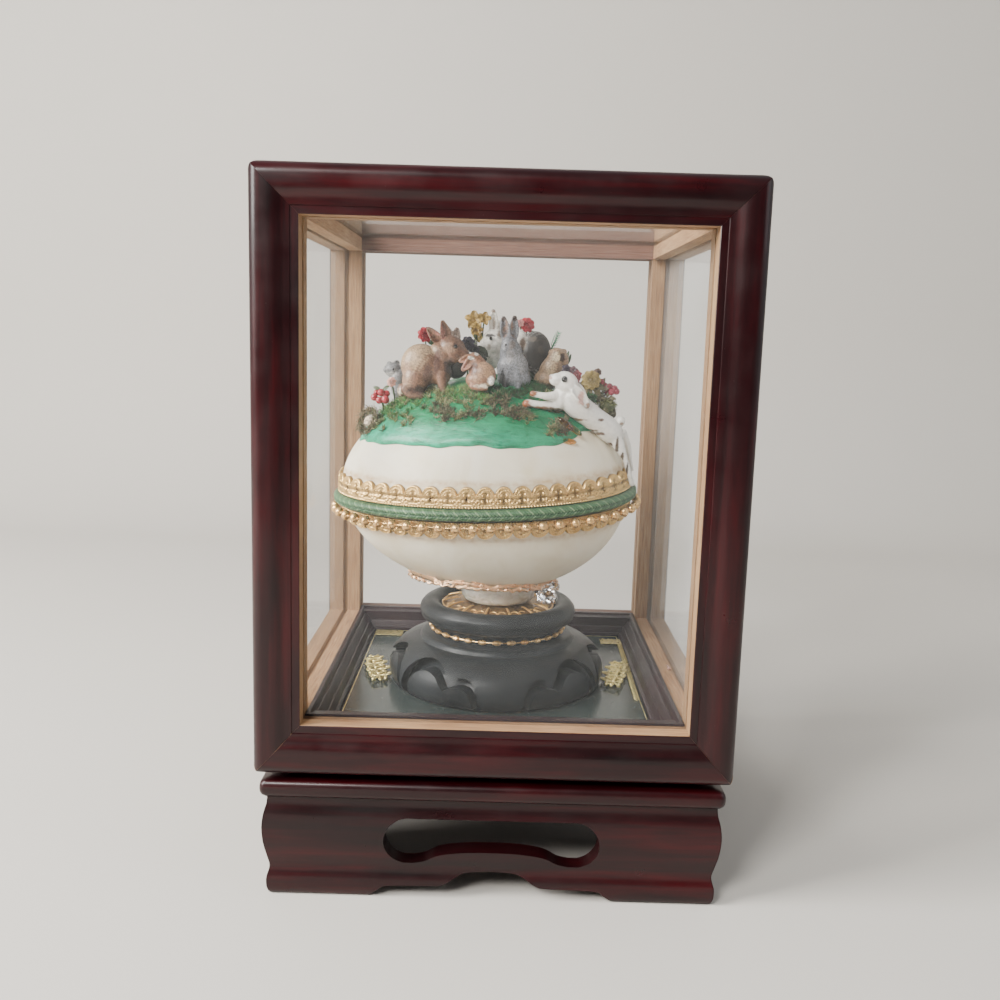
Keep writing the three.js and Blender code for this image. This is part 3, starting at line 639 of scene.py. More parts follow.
def prism(outline, low, high):
    """Extrudes an outline of [x, z] points along -Y, from depth low to depth high."""
    rings = [[(x, y, z) for x, z in outline] for y in (low, high)]
    return loft(rings)


# ---------------------------------------------------------------- case and base

CASE_HALF, CASE_BOTTOM, CASE_TOP = 99.4, 55.3, 299.5
MEMBER, SILL = 19.4, 21.3
STRIP = 3.2
GLASS_FROM, GLASS_TO, GROOVE = 9.9, 12.5, 3.0
BOARD_HALF, APRON_HALF = 97.3, 104
CORNER_STEPS = 10
BAR_GAP = 0.02


def member_section(deep_b, glazed_b):
    """Points [a, b] and, for the edge that starts at each point, whether it is lacquered."""
    face = [[0.0, deep_b - 11.6], [0.1, deep_b - 10.2], [0.5, deep_b - 8.6], [1.1, deep_b - 7.2], [1.5, deep_b - 5.4],
            [1.62, deep_b - STRIP - 0.5], [1.7, deep_b - STRIP - 0.15], [2.1, deep_b - STRIP + 0.1],
            [2.15, deep_b - 0.3], [2.4, deep_b]]
    corner = arc(4.8, 4.8, 4.8, 270, 180, CORNER_STEPS)
    points = [(p, True) for p in corner] + [(p, True) for p in face[:-1]] + [(face[-1], False)]
    points += [(p, False) for p in ([GLASS_FROM, deep_b], [GLASS_FROM, deep_b - GROOVE], [GLASS_TO, deep_b - GROOVE],
                                    [GLASS_TO, deep_b], [MEMBER, deep_b])]
    if glazed_b:
        points += [(p, False) for p in ([MEMBER, GLASS_TO], [MEMBER - GROOVE, GLASS_TO],
                                        [MEMBER - GROOVE, GLASS_FROM], [MEMBER, GLASS_FROM])]
        mirrored = [[b - deep_b + MEMBER, a] for a, b in face[::-1]]
        points += [(p, True) for p in mirrored]
    else:
        points += [([MEMBER, 0.6], True), ([MEMBER - 0.6, 0.0], True)]
    return points


def build_member(name, length, deep_b, glazed_b, ratio, axes, origin, node, along, raw=None):
    """A bar with 3-way mitres. ratio is a slope for each end: how far the cut runs along for 1 mm of b."""
    section = member_section(deep_b, glazed_b)
    a = np.array([p[0][0] for p in section])
    b = np.array([p[0][1] for p in section])
    (start_a, start_b), (end_a, end_b) = ratio
    low = BAR_GAP + np.maximum(a * start_a, b * start_b)
    high = length - BAR_GAP - np.maximum(a * end_a, b * end_b)
    count = len(section)
    corner = int(np.argmin((a + b)[:CORNER_STEPS + 1]))
    inner = int(np.argmin(np.hypot(a - MEMBER, b - deep_b)))
    stations = 8
    rings = [[(a[k], b[k], low[k] + (high[k] - low[k]) * s / stations) for k in range(count)]
             for s in range(stations + 1)]
    points = np.array(rings).reshape(-1, 3)
    faces = grid_faces(stations + 1, count)
    kinds = [0 if section[k][1] else 1 for _ in range(stations) for k in range(count)]
    for base, flip in ((0, True), (stations * count, False)):
        one = [base + k for k in range(corner, inner + 1)]
        two = [base + k % count for k in range(inner, count + corner + 1)]
        for cap in (one, two):
            faces.append(cap[::-1] if flip else cap)
            kinds.append(1)
    world = np.asarray(origin, float) + points @ np.asarray(axes, float)
    if np.linalg.det(np.asarray(axes, float)) < 0:
        faces = [face[::-1] for face in faces]
    Soup().add((world, faces), kind=kinds).piece(name, [f"lacquer_{along}", raw or f"raw_{along}"], "lacquer_red",
                                                 [node], sharp=28)


def build_case():
    tall, wide = CASE_TOP - CASE_BOTTOM, 2 * CASE_HALF
    sill = SILL / MEMBER
    for sx, x_name in ((-1, "left"), (1, "right")):
        for sy, y_name in ((-1, "front"), (1, "back")):
            axes = [(0, -sy, 0), (-sx, 0, 0), (0, 0, 1)]
            origin = (sx * CASE_HALF, sy * CASE_HALF, CASE_BOTTOM)
            node = f"case_post_{y_name}_{x_name}"
            build_member(f"post_{y_name}_{x_name}", tall, MEMBER, True, ((sill, sill), (1, 1)), axes, origin, node,
                         "z")
    levels = (("top", CASE_TOP, -1, MEMBER, True, 1.0), ("bottom", CASE_BOTTOM, 1, SILL, False, 1 / sill))
    for level, height, inward, deep_b, glazed, slope in levels:
        ends = ((1.0, slope), (1.0, slope))
        for side, names in ((-1, ("front", "left")), (1, ("back", "right"))):
            # The back rails take the darker bare wood that paints shade at the back of the case.
            build_member(f"rail_{level}_{names[0]}", wide, deep_b, glazed, ends,
                         [(0, -side, 0), (0, 0, inward), (1, 0, 0)], (-CASE_HALF, side * CASE_HALF, height),
                         f"case_rail_{level}_{names[0]}", "x", "shaded_raw_x" if side > 0 else None)
            build_member(f"rail_{level}_{names[1]}", wide, deep_b, glazed, ends,
                         [(-side, 0, 0), (0, 0, inward), (0, 1, 0)], (side * CASE_HALF, -CASE_HALF, height),
                         f"case_rail_{level}_{names[1]}", "y")


def rounded_square(half, radius, steps=6):
    inner = half - radius
    return (arc(inner, inner, radius, 0, 90, steps) + arc(-inner, inner, radius, 90, 180, steps)
            + arc(-inner, -inner, radius, 180, 270, steps) + arc(inner, -inner, radius, 270, 360, steps))


OGEE = [[92.4, 0], [93.6, 0.5], [94.5, 2.2], [94.9, 4.8], [94.8, 8], [93.9, 11], [93.7, 13.4], [94.6, 17.6],
        [95.9, 24], [96.4, 31], [95.8, 36.5], [94.6, 41], [94.3, 44.2]]


def apron_outline():
    right = smooth_line([[0, 12.4], [8, 12.0], [12, 11.2], [16, 8.9], [19.5, 6.7], [24, 5.9], [43.5, 5.4],
                         [47.5, 3.6], [51, 0.9], [54, -0.6]], 5)
    left = [[-x, z] for x, z in right[::-1][:-1]]
    corners = [[APRON_HALF, -1.0], [APRON_HALF, 46.0], [-APRON_HALF, 46.0]]
    return [[-APRON_HALF, -1.0]] + left + right.tolist() + corners


def slot_outline():
    right = arc(35, 26.1, 10.4, -80, 90, 22)
    left = [[-x, z] for x, z in right[::-1]]
    low = smooth_line([[-33, 15.8], [-28, 16.9], [-22, 19.9], [-12, 21.5], [0, 21.9], [12, 21.5], [22, 19.9],
                       [28, 16.9], [33, 15.8]], 4)
    return right + left + low.tolist()


def build_base():
    moulding = ((-2.4, 44.5), (-1.2, 44.9), (-0.5, 45.7), (-0.1, 46.8), (0, 48), (-0.05, 49.4), (-0.35, 50.6),
                (-0.9, 51.5), (-1.7, 52))
    levels = [[BOARD_HALF + d, z] for d, z in moulding]
    levels += [[88.2, 52.05], [88, 52.3], [88, 55.0]]
    rings = [[(x, y, z) for x, y in rounded_square(half, 2.6)] for half, z in levels]
    Soup().add(loft(rings)).piece("base_board", "lacquer_x", "lacquer_red", ["base_top_board"], sharp=35)
    curve = smooth_line(OGEE, 4)
    section = curve.tolist() + [[86, 44.2], [86, 0]]
    rings = [[(s, -y, z) for y, z in section] for s in np.linspace(-99.4, 99.4, 13)]
    mitre = loft([[(x, -y - 0.2, z) for x, y in ([0, 0], [APRON_HALF] * 2, [-APRON_HALF, APRON_HALF])]
                  for z in (-1, 46)])
    board = carve(loft(rings), [prism(apron_outline(), -APRON_HALF, -80), mitre], "INTERSECT")
    board = carve(board, [prism(slot_outline(), -APRON_HALF, -80)])
    for k, side in enumerate(("front", "right", "back", "left")):
        apron = Soup().add((board[0] @ about_z(math.radians(90 * k)), board[1]))
        look, node = f"lacquer_{'xy'[k % 2]}", f"base_apron_{side}"
        soften_edges(apron.piece(f"apron_{side}", look, "lacquer_red", [node], sharp=32), 0.6, 50)


def dress_own_meshes():
    """The panes and the floor board keep the part's own mesh."""
    dressed = {f"glass_{side}": "glass" for side in ("front", "back", "left", "right", "top")}
    for name, look in {**dressed, "floor_board": "raw_x"}.items():
        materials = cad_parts[name].data.materials
        materials.clear()
        materials.append(LOOKS[look])


def rect_ring(half_x, half_y, z):
    return [(half_x, half_y, z), (-half_x, half_y, z), (-half_x, -half_y, z), (half_x, -half_y, z)]


def build_tray():
    profile = [(79.7, 86.9, 76.95), (79.7, 86.9, 77.7), (79.4, 86.6, 77.85), (78.0, 85.0, 77.85), (77.5, 84.4, 77.2),
               (77.1, 83.6, 76.0), (76.7, 82.8, 75.2), (76.2, 82.2, 75.1), (75.6, 81.6, 74.4), (74.4, 80.2, 72.4),
               (73.8, 79.7, 71.6), (73.2, 79.1, 71.5), (72.7, 78.6, 70.6), (72.3, 78.2, 69.0), (71.8, 77.7, 68.1),
               (71.2, 77.1, 68.0), (70.5, 76.5, 67.5), (70.4, 76.4, 66.8), (70.4, 76.4, 61.3), (79.5, 79.5, 61.3),
               (79.5, 79.5, 76.6)]
    rings = [rect_ring(x, y, z) for x, y, z in profile]
    Soup().add(loft(rings, True)).piece("tray_moulding", "tray", "lacquer_black", ["tray_frame"], sharp=22)
    panel = [rect_ring(70.1, 76.1, 61.4), rect_ring(70.1, 76.1, 66.2), rect_ring(69.8, 75.8, 66.5)]
    Soup().add(loft(panel)).piece("tray_inlay", "panel", "panel_green", ["tray_panel"], sharp=20)
    line = [rect_ring(69.2 - inset, 75.2 - inset, z)
            for inset, z in ((0, 66.45), (0, 66.63), (0.3, 66.63), (0.3, 66.45))]
    Soup().add(loft(line, True)).piece("tray_gold_line", "foil", "gilt", smooth=False)


# ---------------------------------------------------------------- stand and seat

STAND_PROFILE = [[0, 66.8], [49.5, 66.8], [51.5, 67.2], [53.2, 69.2], [54.1, 72.2], [54.1, 74.4], [53.4, 77.6],
                 [51.8, 81.0], [49.2, 84.0], [46.2, 86.2], [42.8, 87.7], [39.6, 88.5], [38.4, 88.6], [38.0, 89.0],
                 [37.7, 89.9], [36.8, 90.9], [35.4, 91.3], [32.6, 91.6], [31.4, 92.2], [31.0, 93.4], [30.8, 95.4],
                 [31.2, 96.6]]


def stand_profile():
    rim = arc(33.7, 102.6, 5.2, -115, -38, 8) + arc(33.5, 102.8, 5.0, -30, 22, 8) + arc(33.3, 102.9, 4.9, 30, 175, 16)
    return STAND_PROFILE + rim + [[28.5, 102.4], [28.4, 101.6], [28.0, 101.5], [0, 101.5]]


def cloud_outline(mirror):
    """A tall round arch with a lower lobe beside it, like a small cloud."""
    right = smooth_line([[-22.2, 67.6], [-22.8, 73], [-20.6, 79.4], [-15.2, 84.6], [-8, 86.6], [-1, 85.3],
                         [3.6, 82.4], [5.8, 80.2], [9.4, 81.6], [14.6, 81.5], [18.8, 78.6], [21, 74.2], [21.4, 67.6]],
                         5)
    return [[mirror * x, z] for x, z in right]


def cushion_outline(mirror):
    """The raised cushion inside a recess, with the same arch and lobe."""
    line = smooth_line([[-18.4, 66], [-18.9, 71.4], [-17.4, 76.2], [-13.4, 80.0], [-8, 81.6], [-2.6, 80.2],
                        [0.8, 77.2], [3.2, 75.0], [6.4, 76.6], [10.8, 77.2], [14.8, 75.6], [17, 71.8], [17.2, 66]], 5)
    return [[mirror * x, z] for x, z in line]


def build_stand():
    body = lathe(stand_profile(), 160)
    core = lathe([[0, 60], [44.6, 60], [47.2, 66], [48.4, 70], [48.0, 74.6], [45.4, 79.6], [40.4, 83.6], [34, 86.2],
                  [0, 86.4]], 96)
    pillow = lathe([[0, 60], [48.6, 60], [50.6, 67.2], [52.4, 69.2], [53.3, 72.2], [53.3, 74.4], [52.6, 77.6],
                    [50.9, 81.0], [48.2, 84.0], [45, 86.2], [0, 86.3]], 128)
    cutters = []
    for k in range(6):
        mirror, lean = (1, -1) if k % 2 else (-1, 7)
        rotate = about_z(math.radians(60 * (k + 0.5) + lean))
        block = prism(cloud_outline(mirror), -62, -20)
        rise = prism(cushion_outline(mirror), -64, -18)
        rise = carve((rise[0] @ rotate, rise[1]), [pillow], "INTERSECT")
        cutters.append(carve((block[0] @ rotate, block[1]), [core, rise]))
    stand = Soup().add(carve(body, cutters))
    soften_edges(stand.piece("carved_stand", "stand", "lacquer_black", ["stand_body"], sharp=34), 0.7, 48)


def build_neck_beads():
    """Barrel beads with flats and rings, joined by short wires."""
    chain = Soup()
    count, ring, height = 30, 32.8, 94.0
    for k in range(count):
        turn = TAU * (k + 0.5) / count
        along = np.array([-math.sin(turn), math.cos(turn), 0])
        out = np.array([math.cos(turn), math.sin(turn), 0])
        centre = out * ring + (0, 0, height)
        shape = [(-1.95, 0.3), (-1.9, 0.7), (-1.6, 0.95), (-1.3, 0.82), (-1.05, 1.15), (0, 1.22), (1.05, 1.15),
                 (1.3, 0.82), (1.6, 0.95), (1.9, 0.7), (1.95, 0.3)]
        rings = [[centre + along * s + r * (out * math.cos(a) + np.array([0, 0, math.sin(a)]))
                  for a in np.arange(10) * TAU / 10] for s, r in shape]
        chain.add(loft(rings), 0.85)
    chain.add(tube(circle(ring, height), 0.3, 6, True), 0.5)
    chain.piece("neck_bead_chain", "bead_gold", "gilt", ["stand_bead_chain"], sharp=30)


def build_seat():
    dish = Soup()
    dish.add(lathe([[0, 101.8], [20, 101.8], [26.6, 104.2], [27.2, 104.8], [24, 105.4], [19, 106.6], [0, 106.7]], 72),
             0.15)
    leaf = [(18.6, 0, 107.0), (20.4, 0, 107.2), (22.6, 0, 106.8), (26.2, 0, 105.9), (27.6, 0, 105.1)]
    share = np.linspace(0, 1, 22)
    radius = 2.9 * (1 - 0.72 * share)
    for k in range(14):
        rotate = about_z(TAU * k / 14)
        for flip in (-1, 1):
            a = flip * (0.4 + 4.6 * share)
            x, y = 23.2 + radius * np.cos(a) * 0.9, flip * 2.6 + radius * np.sin(a)
            spiral = np.stack([x, y, 106.0 - 0.22 * (x - 19) + 0.5 * np.sin(3 * share)], -1)
            dish.add(tube(spiral @ rotate, np.linspace(0.5, 0.28, 22), 6), 0.95)
        line = smooth_line(leaf, 4) @ rotate
        dish.add(tube(line, np.linspace(0.45, 0.8, len(line)), 6, flat=0.7), 0.9)
    dish.add(tube(circle(27.4, 104.9), 0.45, 6, True), 0.9)
    dish.piece("filigree_dish", "gold_worn", "gilt", ["egg_dish"])
    ring = [[12, 107.4], [15.6, 107.4], [16.9, 108.0], [17.9, 109.6], [18.3, 111.6], [18.2, 113.4], [17.6, 115.0],
            [16.6, 115.6], [14.4, 114.6], [12, 114.2]]
    Soup().add(lathe(ring, 80)).piece("foot_ring", "stone", "pale_stone", ["egg_foot_ring"], sharp=40)


def brilliant(centre, size, axes):
    """A cut stone: table, crown, girdle and pavilion."""
    rings = [[(radius * math.cos((k + shift) * TAU / 8), radius * math.sin((k + shift) * TAU / 8), height)
              for k in range(8)]
             for radius, height, shift in ((0.55, 0.42, 0.5), (0.86, 0.22, 0.0), (1.0, 0.04, 0.5), (1.0, -0.04, 0.5),
                                           (0.55, -0.5, 0.0), (0.1, -0.82, 0.0))]
    points, faces = loft(rings)
    tri = []
    for face in faces:
        tri += [[face[0], face[1], face[2]], [face[0], face[2], face[3]]] if len(face) == 4 else [face]
    return points * np.asarray(size, float) @ np.asarray(axes, float) + np.asarray(centre, float), tri


def build_clear_stones():
    centre = np.array([23.4, -19, 113.9])
    toward = unit([0.2, -1, 0.55])
    side = unit(np.cross(toward, (0, 0, 1)))
    axes = [side, unit(np.cross(side, toward)), toward]
    Soup().add(brilliant(centre, (5.4, 4.1, 4.6), axes)).piece("clear_stone", "crystal", "crystal", ["rhinestone"],
                                                               smooth=False)
    second = centre + (3.6, 4.5, 3.9)
    setting = Soup()
    for base, size in ((centre, 4.6), (second, 2.5)):
        for k in range(4):
            a = TAU * (k + 0.5) / 4
            radial = math.cos(a) * axes[0] + math.sin(a) * axes[1]
            line = [base + size * (radial * r + toward * h)
                    for r, h in ((0.35, -0.85), (0.85, -0.5), (1.1, 0.0), (0.98, 0.3), (0.8, 0.34))]
            setting.add(tube(smooth_line(line, 4), 0.26, 6), 0.9)
        cup = [base + size * (0.75 * (math.cos(t) * axes[0] + math.sin(t) * axes[1]) - 0.45 * toward)
               for t in np.arange(24) * TAU / 24]
        setting.add(tube(cup, 0.24, 6, True), 0.8)
    setting.piece("stone_setting", "gold", "gilt")
    Soup().add(brilliant(second, (2.9, 2.4, 2.4), axes)).piece("small_clear_stone", "crystal", "crystal",
                                                               smooth=False)


# ---------------------------------------------------------------- egg

EGG_X, EGG_Z, EGG_LONG, EGG_WIDE, EGG_BLUNT = -8.0, 163.1, 69.6, 49.7, 0.057
GIRTH_Z, GIRTH_X, GIRTH_Y = 156.4, 0.048, 0.065
CORD_LIFT, BEAD_LIFT, FAN_HEIGHT = 4.7, -0.5, 9.8


def egg_radius(along, proud=0.0):
    return (EGG_WIDE + proud) * np.sqrt(np.maximum(0, 1 - along * along)) * (1 + EGG_BLUNT * along)


def girth_height(points):
    """Height above the trims' tilted plane."""
    return points[..., 2] - (GIRTH_Z + GIRTH_X * (points[..., 0] - EGG_X) + GIRTH_Y * points[..., 1])


def girth_points(azimuth, lift, proud):
    """Points over the shell at azimuths, heights above the trims' plane and distances out."""
    azimuth, lift, proud = np.broadcast_arrays(*(np.asarray(v, float) for v in (azimuth, lift, proud)))
    cos, sin = np.cos(azimuth), np.sin(azimuth)
    latitude = np.zeros(azimuth.shape)
    for _ in range(14):
        along = np.cos(latitude) * cos
        swell = (EGG_WIDE + proud) * (1 + EGG_BLUNT * along)
        x = EGG_X + (EGG_LONG + proud) * along
        y = swell * np.cos(latitude) * sin
        z = GIRTH_Z + GIRTH_X * (x - EGG_X) + GIRTH_Y * y + lift
        latitude = np.arcsin(np.clip((z - EGG_Z) / swell, -1, 1))
    return np.stack([x, y, z], -1)


def girth_stations(count, lift, proud, offset=0.0):
    """Azimuths that are evenly spaced along the trim."""
    fine = np.linspace(0, TAU, 1441)
    line = girth_points(fine, lift, proud)
    run = np.concatenate([[0], np.cumsum(np.linalg.norm(np.diff(line, axis=0), axis=1))])
    want = (np.arange(count) + offset) / count * run[-1]
    return np.interp(want, run, fine)


def build_egg():
    around, along = 144, 97
    rows = []
    turns = np.arange(around) * TAU / around
    for value in -np.cos(np.linspace(0, math.pi, along))[1:-1]:
        r = egg_radius(value)
        wobble = 1 + 0.0016 * math.sin(5 * value) + 0.0012 * np.sin(3 * turns + 4 * value)
        rows.append(np.stack([np.full(around, EGG_X + EGG_LONG * value), r * wobble * np.cos(turns),
                              EGG_Z + r * wobble * np.sin(turns)], -1))
    points = np.concatenate([np.concatenate(rows), [[EGG_X - EGG_LONG, 0, EGG_Z], [EGG_X + EGG_LONG, 0, EGG_Z]]])
    faces = grid_faces(len(rows), around)
    low, high = len(points) - 2, len(points) - 1
    last = (len(rows) - 1) * around
    for k in range(around):
        n = (k + 1) % around
        faces.append([low, n, k])
        faces.append([high, last + k, last + n])
    height = girth_height(points)
    stain = np.exp(-((height - 18.2) / 1.5) ** 2) + 0.9 * np.exp(-((height + 7.4) / 1.8) ** 2)
    foot = 0.8 * np.exp(-((points[:, 2] - 118.5) / 1.8) ** 2)
    Soup().add((points, faces), np.clip(0.75 * stain + foot, 0, 1)).piece("egg", "shell", "eggshell", ["egg_shell"])


def ridge(distance, wide):
    return np.exp(-(distance / wide) ** 2)


def scallop_relief(x, y):
    """Height from 0 to 1 of one fan of the braid. x runs along from -4.1 to 4.1, y up from 0 to 9.8."""
    r = np.hypot(x, 0.94 * (y - 5.4))
    a = np.arctan2(x, y - 5.4)
    high = np.clip((y - 4.2) / 1.2, 0, 1)
    out = 0.95 * ridge(r - 3.75, 0.3) * high
    out = np.maximum(out, 0.8 * ridge(r - 2.35, 0.26) * high)
    ribs = (0.3 + 0.7 * np.cos(a * 11) ** 2) * ridge(r - 3.05, 0.5)
    out = np.maximum(out, 0.85 * ribs * high)
    cross = np.minimum(np.maximum(ridge(x, 0.42), ridge(y - 4.5, 0.42)), ridge(np.hypot(x, y - 4.5), 1.7))
    leaves = ridge(np.hypot(np.abs(x) - 1.25, y - 5.9), 0.62) + ridge(np.hypot(np.abs(x) - 1.25, y - 3.2), 0.62)
    out = np.maximum(out, 0.85 * leaves)
    scroll = ridge(np.hypot(np.abs(x) - 3.1, y - 2.9) - 0.85, 0.3) * (y < 4.6)
    out = np.maximum(out, 0.85 * scroll)
    beads = ridge(y - 0.55, 0.5) * (0.35 + 0.65 * np.abs(np.cos(x * math.pi / 1.37)))
    line = 0.7 * ridge(y - 1.5, 0.26)
    out = np.maximum(out, np.maximum(beads, line))
    out = np.maximum(out, 0.28)
    return out * (1 - 0.85 * cross)


def build_scallops(name, node, low, direction, trim=FAN_HEIGHT):
    """A gilt braid of fans that hugs the shell. direction 1 points the fans up and -1 down."""
    count, per, rows = 46, 30, 28
    steps = count * per
    azimuth = girth_stations(steps, low + direction * 4, 1.0)
    x = ((np.arange(steps) + 0.5) / per % 1 - 0.5) * 8.2
    fan = 5.4 + np.sqrt(np.maximum(0, 4.05 ** 2 - np.minimum(np.abs(x), 4.0) ** 2)) / 0.94
    top = np.minimum(np.maximum(fan, 6.6), 9.7) * trim / FAN_HEIGHT
    y = np.linspace(0, 1, rows)[:, None] * top[None]
    height = scallop_relief(np.broadcast_to(x, y.shape), y * FAN_HEIGHT / trim)
    lift = low + direction * y
    proud = 0.8 + 1.5 * height
    lines = [girth_points(azimuth, lift[0], 0.15)]
    lines += [girth_points(azimuth, lift[k], proud[k]) for k in range(rows)]
    lines += [girth_points(azimuth, lift[-1], 0.15)]
    tint = np.concatenate([height[0] * 0.2, height.ravel(), height[-1] * 0.3])
    Soup().add(loft(lines, True), tint).piece(name, "gold_worn", "gilt", [node])


def build_cord():
    """A flat braided cord: two rows of slanting satin strands, with painted shade and highlight in its tint."""
    strands, per, rows = 250, 5, 15
    steps = strands * per
    azimuth = girth_stations(steps, CORD_LIFT, 2.6)
    s = np.arange(steps) / per
    v = np.linspace(-1, 1, rows)
    phase = s[None] + 1.9 * np.abs(v)[:, None] + 0.5 * (v > 0)[:, None]
    strand = np.abs(np.sin(math.pi * phase)) ** 0.7
    third = np.floor(phase).astype(int) % 3
    body = np.sqrt(np.maximum(0.0, 1 - np.abs(v) ** 2.6))[:, None]
    seam = ridge(v, 0.13)[:, None]
    proud = 0.8 + body * (3.1 + 0.6 * strand) - 0.5 * seam
    # Painted light: strand crowns and the upper row lighter, grooves and the seam darker. Every third strand lighter
    # is the braid's pattern.
    tint = np.clip(0.25 + 0.55 * strand * body + 0.2 * (third == 0) - 0.25 * seam + 0.12 * (v > 0)[:, None], 0, 1)
    lift = CORD_LIFT + 2.95 * v
    lines = [girth_points(azimuth, lift[k], proud[k]) for k in range(rows)]
    lines += [girth_points(azimuth, lift[-1], 0.2), girth_points(azimuth, lift[0], 0.2)]
    tint = np.concatenate([tint.ravel(), np.zeros(2 * steps)])
    Soup().add(loft(lines, True), tint).piece("braided_cord", "thread", "cord_green", ["cord_green"])


def build_bead_string():
    beads = Soup()
    count, lift, proud = 52, BEAD_LIFT, 4.9
    for centre in girth_points(girth_stations(count, lift, proud, 0.3), lift, proud):
        beads.add(ball(centre, 2.25 + 0.05 * rng.uniform(-1, 1), None, 18, 12), 0.7 + 0.25 * rng.random())
    azimuth = girth_stations(count * 12, lift, proud, 0.3)
    beads.add(tube(girth_points(azimuth, lift, proud - 0.2), 0.36, 6, True), 0.55)
    for k in range(count):
        for j in (5.2, 6.8):
            a = np.interp(k * 12 + j, np.arange(len(azimuth) + 1), np.append(azimuth, TAU + azimuth[0]))
            beads.add(ball(girth_points(a, lift, proud - 0.2), 0.72, None, 8, 6), 0.7)
    beads.piece("gold_bead_string", "bead_gold", "gilt", ["bead_string"])


def build_garland():
    """Bent angular wire in low peaks round the egg's foot, with a straight bar at the left."""
    links = Soup()
    count = 504
    turns = np.arange(count) * TAU / count
    x, y = EGG_X + 35.0 * np.cos(turns), 26.4 * np.sin(turns)
    r = egg_radius((x - EGG_X) / EGG_LONG) + 1.0
    ring = np.stack([x, y, EGG_Z - np.sqrt(np.maximum(1.0, r * r - y * y)) - 0.6], -1)
    out = np.stack([x - EGG_X, y, np.full(count, -8.0)], -1)
    out /= np.linalg.norm(out, axis=1)[:, None]
    share = np.arange(count) / count

    def tent(waves, shift=0.0):
        return 1 - np.abs(2 * ((share * waves + shift) % 1) - 1)

    up = np.array([0, 0, 1.0])
    strands = ((3.4 * tent(9) + 0.3, 0.5 + 0.9 * tent(36), 0.62),
               (1.7 * tent(9, 0.1) + 0.5 * tent(27), 1.4 - 0.8 * tent(18), 0.66),
               (0.9 * tent(54) - 0.9, 0.8 + 0.7 * tent(27, 0.5), 0.6),
               (2.4 * tent(18, 0.3) - 0.5, 0.9 + 0.4 * tent(27), 0.5))
    for lift, proud, radius in strands:
        line = ring + lift[:, None] * up + out * proud[:, None]
        links.add(tube(line[::3], radius * (0.75 + 0.5 * tent(63))[::3], 5, True),
                  0.45 + 0.5 * np.repeat(tent(36)[::3], 5))
    for k in range(0, count, 14):
        size = 1.0 + 0.5 * rng.random()
        links.add(ball(ring[k] + out[k] * 1.3 + up * rng.uniform(-0.6, 1.6), (1.1 * size, 0.9, 0.75 * size),
                       turned(rng.uniform(0, 180), rng.uniform(-40, 40)), 5, 4), 0.95)
    a, b = spot(412, 572.5, -26.4), spot(434, 580.5, -26.4)
    links.add(tube([a, (a + b) / 2, b], 0.95, 5), 0.5)
    links.piece("bent_link_garland", "gold", "gilt", ["egg_garland"], sharp=24)


# ---------------------------------------------------------------- hill

HILL_X, HILL_HALF, HILL_REACH = -9.0, 60.0, math.radians(62)


def hill_points(reach, turn, proud):
    reach, turn, proud = np.broadcast_arrays(*(np.asarray(v, float) for v in (reach, turn, proud)))
    edge = (np.abs(np.cos(turn)) ** 2.6 + np.abs(np.sin(turn)) ** 2.6) ** (-1 / 2.6) * reach
    x = HILL_X + HILL_HALF * edge * np.cos(turn)
    roll = HILL_REACH * edge * np.sin(turn)
    along = (x - EGG_X) / EGG_LONG
    radius = egg_radius(along) + proud
    return np.stack([x + proud * along * 0.8, radius * np.sin(roll), EGG_Z + radius * np.cos(roll)], -1)


def hill_cover(reach, turn):
    """Thickness of the painted crust."""
    lumps = 0.5 * np.sin(3 * turn + 1) + 0.4 * np.sin(7 * turn)
    waves = 0.3 * np.sin(11 * reach + 2 * turn) * np.sin(5 * turn + 3 * reach)
    edge_lip = 0.4 * ridge(reach - 0.95, 0.05)
    lumps = np.where(reach < 1, lumps * (1 - 0.5 * reach), 0.2 * lumps)
    return 0.6 + 3.7 * (1 - reach ** 2) + lumps + waves * (1 - reach ** 4) + edge_lip


def hill_edge(turn):
    """How far out the paint runs in a direction: it draws in at the front right."""
    right, left = (np.abs((turn - math.radians(way) + math.pi) % TAU - math.pi) for way in (-38, -148))
    ragged = 0.012 * np.sin(5 * turn + 0.6) + 0.008 * np.sin(13 * turn + 1) + 0.006 * np.sin(29 * turn)
    return 0.985 + ragged - 0.06 * ridge(right, 0.3) + 0.035 * ridge(left, 0.45)


def drawn_in(reach, turn):
    """A reach on the hill, pulled to its ragged edge."""
    return reach * (1 + (hill_edge(turn) - 1) * reach ** 3)


def build_hill():
    cols = 240
    turn = np.arange(cols) * TAU / cols
    # The turquoise edge is full strength only on the left, the lit side: painted highlight over the edge paint.
    left = np.clip(0.5 - 0.9 * np.cos(turn), 0, 1)
    rings, tints = [], []
    for reach in np.concatenate([np.linspace(0.02, 0.9, 46), [0.93, 0.955, 0.975, 0.99, 1.0]]):
        cover = hill_cover(np.full(cols, reach), turn)
        if reach > 0.95:
            cover = cover * math.sqrt(max(0.02, 1 - ((reach - 0.95) / 0.052) ** 2)) + 0.05
        rings.append(hill_points(drawn_in(reach, turn), turn, cover))
        tints.append(ridge(reach - 0.94, 0.12) * (0.3 + 0.7 * left))
    for reach in (1.0, 0.7, 0.4, 0.02):
        rings.append(hill_points(drawn_in(reach, turn), turn, 0.02))
        tints.append(np.zeros(cols))
    Soup().add(loft(rings), np.concatenate(tints)).piece("painted_hill", "hill", "hill_paint", ["hill"])


def fibre(start, direction, length, radius, bend):
    """A short curling fibre with three sides."""
    points = [start]
    ahead = unit(direction)
    for _ in range(3):
        ahead = unit(ahead + bend * 0.5 * spread())
        points.append(points[-1] + ahead * length / 3)
    return tube(points, [radius, radius, 0.8 * radius, 0.35 * radius], 3, up=(0.3, 0.2, 1))


